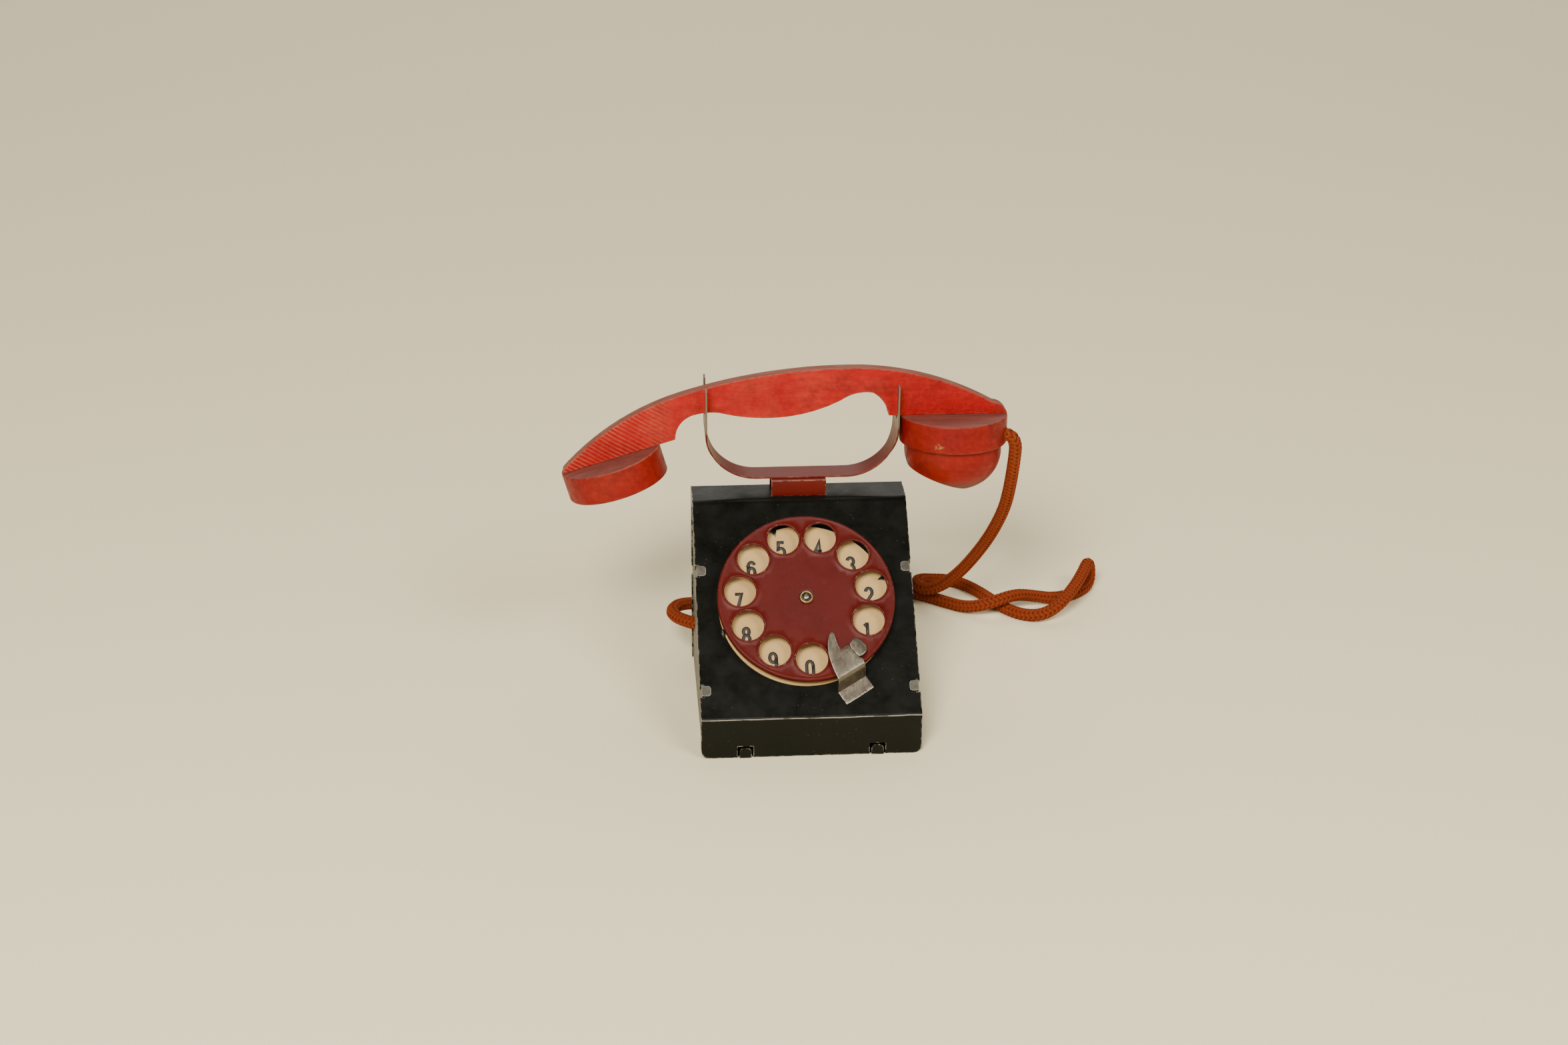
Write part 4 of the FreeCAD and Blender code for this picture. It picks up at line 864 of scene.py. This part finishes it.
def finish_mesh(bm, name, matrix=None, angle=60):
    """Turns a bmesh into a placed object with smooth and sharp edges told apart."""
    bmesh.ops.recalc_face_normals(bm, faces=bm.faces)
    if matrix:
        bm.transform(matrix)
    return add_object(name, mesh_from(bm, name, angle))


ring_low, ring_top = dial_heights("dial_wheel")
print("dial stands %.1f to %.1f mm above the face" % (ring_low / MM, ring_top / MM))

# %% [markdown]
# ## The finger dial
# The real dial is one disc of thin sheet, pressed so that each finger hole gets a raised bead with
# its lip turned in, and the rim is turned down. Cutting holes with booleans would leave their edges
# raw and could not merge neighbouring beads. So the sheet is laid out as points: rings round each
# hole and the rim, and a loose grid between. One rule gives every point its height, the points are
# joined into triangles, and Solidify gives the sheet its thickness.

# %% Rules of the pressed sheet
DIAL_RADIUS = 0.033
HOLE_CIRCLE = 0.0246
HOLE_RADIUS = 0.0059
HOLE_START = -23.5
HOLE_STEP = 32.8
BEAD_HEIGHT = 0.00035
DIAL_SHEET = 0.0006
dial_top = ring_top - BEAD_HEIGHT
BEAD = [(0.0, 0.0), (0.1, 0.2), (0.24, 0.35), (0.42, 0.39), (0.58, 0.32), (0.74, 0.13), (0.88, 0.0)]
RIM = [(0.0, -0.62), (0.09, -0.34), (0.24, -0.1), (0.45, 0.08), (0.7, 0.14), (0.95, 0.08),
       (1.2, 0.0)]


def profile_height(profile, reach):
    """Height in millimetres of a pressed profile at a distance from its edge."""
    for (first, low), (second, high) in zip(profile, profile[1:]):
        if reach <= second:
            return low + (high - low) * (max(reach, first) - first) / (second - first)
    return 0.0


hole_angles = [math.radians(HOLE_START + HOLE_STEP * index) for index in range(10)]
hole_places = [(HOLE_CIRCLE * math.cos(angle), HOLE_CIRCLE * math.sin(angle))
               for angle in hole_angles]
holes = [Vector(place) / MM for place in hole_places]
hole_size, rim_size = HOLE_RADIUS / MM, DIAL_RADIUS / MM


def sheet_height(place):
    """The bead of the nearest hole, or the turned rim, whichever stands out more."""
    reach = min((place - hole).length for hole in holes) - hole_size
    bead, rim = profile_height(BEAD, reach), profile_height(RIM, rim_size - place.length)
    return rim if rim < 0 else max(bead, rim)


def ring_points(centre, radius, count):
    turns = [math.tau * index / count for index in range(count)]
    return [centre + Vector((math.cos(turn), math.sin(turn))) * radius for turn in turns]


def sheet_points():
    """Every point of the sheet in plan, none of them closer to another hole than to its own."""
    made = []
    for hole in holes:
        for out, _ in BEAD:
            for place in ring_points(hole, hole_size + out, 60):
                nearest = min((place - other).length for other in holes)
                if nearest > hole_size + out - 0.02 and place.length < rim_size - 1.15:
                    made.append(place)
    for inward, _ in RIM:
        made += ring_points(Vector((0, 0)), rim_size - inward, 220)
    made += ring_points(Vector((0, 0)), 1.8, 32)
    for row in range(-18, 19):
        for column in range(-18, 19):
            place = Vector((column + 0.5 * (row % 2), row * 0.87)) * 1.8
            clear = min((place - hole).length for hole in holes) - hole_size
            if clear > 1.7 and 2.6 < place.length < rim_size - 1.9:
                made.append(place)
    return made


# %% Pressed dial
def pressed_dial():
    bm = bmesh.new()
    plan = delaunay_2d_cdt(sheet_points(), [], [], 0, 1e-5)
    made = [bm.verts.new((p.x * MM, p.y * MM, sheet_height(p) * MM)) for p in plan[0]]
    for face in plan[2]:
        centre = sum((plan[0][index] for index in face), Vector((0, 0))) / len(face)
        clear = min((centre - hole).length for hole in holes)
        if clear > hole_size - 0.01 and centre.length > 1.78:
            bm.faces.new([made[index] for index in face])
    bmesh.ops.delete(bm, geom=[v for v in bm.verts if not v.link_faces], context="VERTS")
    if sum(face.normal.z for face in bm.faces) < 0:
        bmesh.ops.reverse_faces(bm, faces=bm.faces)
    lips = [edge for edge in bm.edges if edge.is_boundary and edge.verts[0].co.xy.length > 0.004]
    turned = bmesh.ops.extrude_edge_only(bm, edges=lips)["geom"]
    for vertex in [item for item in turned if isinstance(item, bmesh.types.BMVert)]:
        vertex.co.z -= 0.0013 if vertex.co.xy.length > DIAL_RADIUS - 0.0003 else 0.0003
    bm.transform(dial_frame @ Matrix.Translation((0, 0, dial_top)))
    piece = add_object("pressed_dial", mesh_from(bm, "pressed_dial"))
    thicken(piece, DIAL_SHEET * 0.7, -1)
    return piece


dial = dress(pressed_dial(), dial_enamel, "dial_enamel", "dial", "dial_wheel")
print("dial:", len(dial.data.polygons), "faces before it gets its thickness")

# %% [markdown]
# ## Turned and rolled pieces
# An eyelet, a spindle's head or a washer is a profile swept round an axis. A short list of radius
# and height pairs says it all, so one lathe function makes them.


# %% Lathe
def circle_of_vertices(bm, radius, level, count):
    angles = [math.tau * index / count for index in range(count)]
    return [bm.verts.new((radius * math.cos(angle), radius * math.sin(angle), level))
            for angle in angles]


def join_loops(bm, first, second):
    for index in range(len(first)):
        after = (index + 1) % len(first)
        bm.faces.new((first[index], first[after], second[after], second[index]))


def lathe(name, profile, matrix, segments=64):
    """Sweeps (radius, height) pairs, in millimetres, round the Z axis of a matrix."""
    bm = bmesh.new()
    loops = []
    for radius, level in profile:
        if radius == 0:
            loops.append([bm.verts.new((0, 0, level * MM))])
        else:
            loops.append(circle_of_vertices(bm, radius * MM, level * MM, segments))
    for first, second in zip(loops, loops[1:]):
        if len(first) == 1 or len(second) == 1:
            tip, loop = (first[0], second) if len(first) == 1 else (second[0], first)
            for index in range(segments):
                bm.faces.new((tip, loop[index], loop[(index + 1) % segments]))
        else:
            join_loops(bm, first, second)
    return finish_mesh(bm, name, matrix)


def at_level(level):
    return dial_frame @ Matrix.Translation((0, 0, level))


# %% Eyelet and spindle
eyelet_low = dial_heights("dial_eyelet")[0]
eyelet = lathe("rolled_eyelet", [
    (2.6, 0.0), (2.62, 0.18), (2.5, 0.42), (2.25, 0.56), (1.98, 0.58), (1.76, 0.46), (1.68, 0.2),
    (1.67, -0.5), (2.0, -0.52), (2.0, 0.0), (2.6, 0.0)], at_level(eyelet_low))
dress(eyelet, dull_brass, "brass", "dial", "dial_eyelet")
spindle_low, spindle_high = dial_heights("dial_spindle")
head = (spindle_high - eyelet_low) / MM - 0.28
spindle = lathe("spindle_pin", [
    (0.0, (spindle_low - eyelet_low) / MM), (1.4, (spindle_low - eyelet_low) / MM),
    (1.6, (spindle_low - eyelet_low) / MM + 0.2), (1.6, head - 0.75), (1.18, head - 0.55),
    (1.12, head - 0.2), (0.96, head), (0.5, head + 0.08), (0.0, head + 0.1)],
    at_level(eyelet_low))
dress(spindle, works_steel, "bare_steel", "dial", "dial_spindle")
for node, width in (("dial_spacer", 0.2), ("spindle_washer", 0.12), ("click_wheel", 0.12)):
    softened("steel_" + node, node, width * MM, works_steel, "bare_steel",
             "base" if node == "dial_spacer" else "dial")
print("spindle head stands %.2f mm over the eyelet's foot" % head)

# %% [markdown]
# ## The number card and its digits
# The digits are printed on the card, not on the dial, and the card lies a little low, so the lower
# edge of each hole cuts into its digit. A font file can't be relied on to be there, and a built-in
# face breaks up when it is made this bold. So each digit is a few strokes in a unit box, and each
# stroke becomes a thin ribbon of even width on the card.

# %% Card and digits
softened("printed_card", "number_card", 0.1 * MM, cream_card, "card", "base")
card_box = dial_box("number_card")
card_top = card_box[2][1]
card_centre = Vector([sum(card_box[axis]) / 2 for axis in (0, 1)])
DIGIT_HEIGHT = 0.0072
DIGIT_WIDTH = 0.0037
DIGIT_STROKE = 0.00128
DIGIT_DROP = 0.0009
INK_THICKNESS = 0.00002
STROKE_STEP = 0.000004


def bow(middle, reach, first, last, count=18):
    """Points of an elliptic arc, in shares of a digit's box, between two angles in degrees."""
    angles = [math.radians(first + (last - first) * index / count) for index in range(count + 1)]
    return [(middle[0] + reach[0] * math.cos(angle), middle[1] + reach[1] * math.sin(angle))
            for angle in angles]


SIX = [bow((0.5, 0.3), (0.5, 0.3), 0, 360, 30),
       [(0.0, 0.3), (0.0, 0.7)] + bow((0.5, 0.7), (0.5, 0.3), 180, 20)]
STROKES = {
    "0": [bow((0.5, 0.7), (0.5, 0.3), 0, 180) + bow((0.5, 0.3), (0.5, 0.3), 180, 360)
          + [(1.0, 0.7)]],
    "1": [[(0.62, 0.0), (0.62, 1.0)], [(0.62, 0.93), (0.16, 0.76)]],
    "2": [bow((0.5, 0.72), (0.5, 0.28), 170, -35) + [(0.0, 0.0), (1.0, 0.0)]],
    "3": [bow((0.45, 0.75), (0.5, 0.25), 165, -90), bow((0.45, 0.25), (0.55, 0.25), 90, -165)],
    "4": [[(0.72, 0.0), (0.72, 1.0), (0.0, 0.28), (1.05, 0.28)]],
    "5": [[(0.95, 1.0), (0.1, 1.0), (0.02, 0.52)] + bow((0.45, 0.3), (0.55, 0.3), 130, -160)],
    "6": SIX,
    "7": [[(0.0, 1.0), (1.0, 1.0), (0.36, 0.0)]],
    "8": [bow((0.5, 0.76), (0.44, 0.24), 0, 360, 30), bow((0.5, 0.26), (0.5, 0.26), 0, 360, 30)],
    "9": [[(1 - x, 1 - y) for x, y in stroke] for stroke in SIX],
}


def add_ribbon(bm, line, width, level):
    """A flat band of even width along a line, with mitred corners."""
    closed = (line[0] - line[-1]).length < 1e-6
    pairs = []
    for index, here in enumerate(line):
        before = line[index - 1] if index else (line[-2] if closed else None)
        after = line[index + 1] if index + 1 < len(line) else (line[1] if closed else None)
        ways = [(b - a).normalized() for a, b in ((before, here), (here, after)) if a and b]
        sides = [Vector((-way.y, way.x)) for way in ways]
        mitre = sum(sides, Vector((0, 0))).normalized()
        reach = width / 2 / max(mitre.dot(sides[0]), 0.45)
        pairs.append([bm.verts.new((*(here + mitre * reach * turn), level)) for turn in (1, -1)])
    for (a, b), (c, d) in zip(pairs, pairs[1:]):
        bm.faces.new((a, b, d, c))


def print_digit(text, place):
    bm = bmesh.new()
    inner = Vector((DIGIT_WIDTH - DIGIT_STROKE, DIGIT_HEIGHT - DIGIT_STROKE))
    for count, stroke in enumerate(STROKES[text]):
        line = [Vector(((x - 0.5) * inner.x, (y - 0.5) * inner.y)) + Vector(place)
                for x, y in stroke]
        add_ribbon(bm, line, DIGIT_STROKE, card_top + INK_THICKNESS + STROKE_STEP * count)
    piece = finish_mesh(bm, "digit_" + text, dial_frame, SHARP_ANGLE)
    thicken(piece, INK_THICKNESS, 0)
    dress(piece, black_ink, "card", "base")


for text, place in zip("1234567890", hole_places):
    print_digit(text, (card_centre.x + place[0], card_centre.y + place[1] - DIGIT_DROP))
print("card's middle: %.1f, %.1f mm" % (card_centre.x / MM, card_centre.y / MM))

# %% [markdown]
# ## The finger stop
# It is one strip of steel: a foot on the face, a double bend, and a plate over the dial with a
# curved horn and an ear pushed up along a slit. The plan is filled flat, sliced across where it
# will bend, and then each point is lifted by a smooth step, as a press would do. A straight riser
# would show hard creases, where the real one has bends as wide as its sheet.

# %% Bent strips
def rounded_outline(corners, rounds=3):
    """Closed outline in metres from corners in millimetres, its corners cut smooth."""
    places = [Vector(corner) * MM for corner in corners]
    for _ in range(rounds):
        made = []
        for here, after in zip(places, places[1:] + places[:1]):
            made += [here.lerp(after, 0.22), here.lerp(after, 0.78)]
        places = made
    return places


def grid_inside(outline, spacing):
    """Loose grid of points inside an outline, clear of its edge."""
    made = []
    xs, ys = [p.x for p in outline], [p.y for p in outline]
    for row in range(int((max(ys) - min(ys)) / spacing)):
        for column in range(int((max(xs) - min(xs)) / spacing)):
            place = Vector((min(xs) + (column + 0.5) * spacing, min(ys) + (row + 0.5) * spacing))
            crossings = sum((a.y > place.y) != (b.y > place.y) and
                            place.x < a.x + (place.y - a.y) * (b.x - a.x) / (b.y - a.y)
                            for a, b in zip(outline, outline[1:] + outline[:1]))
            if crossings % 2 and min((place - p).length for p in outline) > spacing * 0.6:
                made.append(place)
    return made


def bent_sheet(name, outline, cuts, lift, thickness, frame_used, edge=0.00014, spacing=1.0):
    """Fills an outline, slices it across at the cuts, lifts it by a rule and gives it thickness."""
    bm = bmesh.new()
    inside = grid_inside(outline, spacing * MM)
    places = [place / MM for place in outline + inside]
    rim = [(i, (i + 1) % len(outline)) for i in range(len(outline))]
    plan = delaunay_2d_cdt(places, rim, [], 1, 1e-6)
    made = [bm.verts.new((place.x * MM, place.y * MM, 0)) for place in plan[0]]
    for face in plan[2]:
        bm.faces.new([made[index] for index in face])
    for origin, normal in cuts:
        everything = list(bm.verts) + list(bm.edges) + list(bm.faces)
        bmesh.ops.bisect_plane(bm, geom=everything, plane_co=(*origin, 0), plane_no=(*normal, 0),
                               dist=1e-8)
    bmesh.ops.recalc_face_normals(bm, faces=bm.faces)
    if sum(face.normal.z for face in bm.faces) < 0:
        bmesh.ops.reverse_faces(bm, faces=bm.faces)
    for vertex in bm.verts:
        vertex.co.z = lift(vertex.co)
    piece = finish_mesh(bm, name, frame_used)
    thicken(piece, thickness, 1)
    rounding = piece.modifiers.new("rounding", "BEVEL")
    rounding.width, rounding.segments, rounding.limit_method = edge, 2, "ANGLE"
    rounding.angle_limit = math.radians(55)
    return piece


# %% Stop plate, riser and foot
STOP_SHEET = 0.0008
STOP_FOOT_PLACE = 0.0405
EAR_ROLL = 0.00035
stop_low, stop_high = dial_heights("finger_stop")
plate_level = 0.0068
fold_point = Vector((15.0, -31.0)) * MM
fold_run = Vector((10.3, 6.1)).normalized()
fold_ahead = Vector((fold_run.y, -fold_run.x))
FOLD_HALF = 0.00145


def smooth_step(t):
    t = min(max(t, 0.0), 1.0)
    return t * t * (3 - 2 * t)


def stop_lift(place):
    """Level of the strip: plate, double bend, then the foot flat on the face."""
    reach = (place.xy - fold_point).dot(fold_ahead)
    fall = smooth_step((reach + FOLD_HALF) / (2 * FOLD_HALF))
    return plate_level + (stop_low - plate_level) * fall


stop_cuts = []
for index in range(17):
    reach = FOLD_HALF * (index / 8 - 1)
    stop_cuts.append((fold_point + fold_ahead * reach, fold_ahead))
stop_corners = [
    (19.75, -27.7), (19.3, -25.3), (18.9, -24.95), (17.9, -24.75), (17.3, -24.2), (14.35, -20.05),
    (13.95, -19.85), (11.75, -21.35), (11.2, -21.3), (10.6, -20.3), (9.9, -18.2), (9.35, -15.9),
    (9.0, -14.9), (8.3, -14.6), (7.65, -15.2), (7.15, -16.6), (6.75, -18.8), (6.65, -21.0),
    (7.0, -24.2), (7.9, -28.0), (9.55, -32.3), (9.85, -33.5), (9.8, -34.8), (10.3, -36.0),
    (12.75, -40.2), (13.2, -40.35), (23.0, -34.2), (23.1, -33.7), (21.6, -31.4), (20.35, -29.4)]
stop_shift = dial_box("finger_stop")[1][0] + STOP_FOOT_PLACE
stop_frame = dial_frame @ Matrix.Translation((0, stop_shift, 0))
stop = bent_sheet("finger_stop_strip", rounded_outline(stop_corners), stop_cuts, stop_lift,
                  STOP_SHEET, stop_frame)
dress(stop, stop_steel, "bare_steel", "base", "finger_stop")

# %% The ear
slit_start, slit_end = Vector((14.15, -19.75)) * MM, Vector((17.6, -24.5)) * MM
slit_out = Vector((slit_start.y - slit_end.y, slit_end.x - slit_start.x)).normalized()


def ear_lift(place):
    """The ear stands highest along its slit and curves back down to the plate at its round end."""
    reach = (place.xy - slit_start).dot(slit_out)
    top = stop_high - STOP_SHEET - 0.00002
    return top - EAR_ROLL * smooth_step((reach - 0.0022) / 0.003)


ear_corners = [
    (17.6, -24.5), (18.6, -24.3), (19.7, -23.6), (20.6, -22.4), (20.9, -21.0), (20.4, -19.6),
    (19.4, -18.3), (18.0, -17.3), (16.7, -17.2), (15.5, -18.1), (14.15, -19.75)]
ear = bent_sheet("finger_stop_ear", rounded_outline(ear_corners), [], ear_lift, STOP_SHEET,
                 stop_frame, 0.00022, 0.45)
dress(ear, stop_steel, "bare_steel", "base")
print("finger stop: %d faces" % len(stop.data.polygons))

# %% [markdown]
# ## Bell works
# Inside, a star wheel on the spindle flicks a hammer against a small gong. None of it shows from
# outside, so the CAD shapes are kept and only softened and finished. The return coil is the one
# piece whose CAD solid is a plain sleeve, and a real wire is wound in its place.

# %% Bell works
for node in ("bell_post", "bell_screw", "hammer_pin", "hammer_stand"):
    softened("steel_" + node, node, 0.1 * MM, works_steel, "bare_steel", "base")
softened("plated_gong", "bell_gong", 0.12 * MM, bell_plate, "bell_metal", "base")
softened("steel_hammer", "hammer", 0.1 * MM, works_steel, "bare_steel", "hammer_lever")


def wound_coil(name, node, wire, turns):
    """A close coil of wire about the Y axis, in a node's place."""
    low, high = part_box(node)
    centre = (low + high) / 2
    radius = (high.x - low.x) / 2 - wire / 2
    route = []
    for index in range(turns * 24 + 1):
        t = index / (turns * 24)
        angle = math.tau * turns * t
        y = low.y + wire / 2 + (high.y - low.y - wire) * t
        route.append(Vector((centre.x + radius * math.cos(angle), y,
                             centre.z + radius * math.sin(angle))))
    return tube_mesh(name, route, wire / 2)


def tube_mesh(name, points, radius, sides=10):
    """A round tube with closed ends along some points."""
    bm = bmesh.new()
    loops = []
    for point, (tangent, normal, side) in zip(points, moving_frames(points)):
        loops.append([bm.verts.new(point + (normal * math.cos(math.tau * i / sides)
                                            + side * math.sin(math.tau * i / sides)) * radius)
                      for i in range(sides)])
    for first, second in zip(loops, loops[1:]):
        join_loops(bm, first, second)
    bm.faces.new(loops[0])
    bm.faces.new(loops[-1])
    return finish_mesh(bm, name)


coil = wound_coil("return_coil", "hammer_spring", 0.0004, 4)
dress(coil, works_steel, "bare_steel", "base", "hammer_spring")
print("bell works finished")

# %% [markdown]
# ## Cradle
# The bracket is a folded strip that passes through two slots in the body's top, and the yoke is a
# second strip, bent up at both ends and slit into forks. Both come from CAD with their true bends.

# %% Cradle
softened("folded_bracket", "cradle_bracket", 0.16 * MM, bracket_enamel, "cradle_enamel", "base", 3)
softened("forked_yoke", "cradle_yoke", 0.16 * MM, cradle_enamel, "cradle_enamel", "base")
print("cradle finished")

# %% [markdown]
# ## Handset
# A sawn board with two turned end pieces, nailed on. Their edges are only just broken by sandpaper,
# so the rounding is small on the board and a little larger on the turned pieces.

# %% Handset
softened("sawn_board", "handset_board", 0.35 * MM, board_wood, "stained_wood", "handset", 3)
for name, node, width in (("turned_earpiece", "earpiece_disc", 0.4), ("turned_collar",
                          "mouthpiece_collar", 0.3), ("turned_cup", "mouthpiece_cup", 0.5)):
    softened(name, node, width * MM, turned_wood, "stained_wood", "handset", 3)
for name in ("earpiece", "mouthpiece"):
    softened("nails_" + name, name + "_nails", 0.1 * MM, works_steel, "bare_steel", "handset")
print("handset finished")
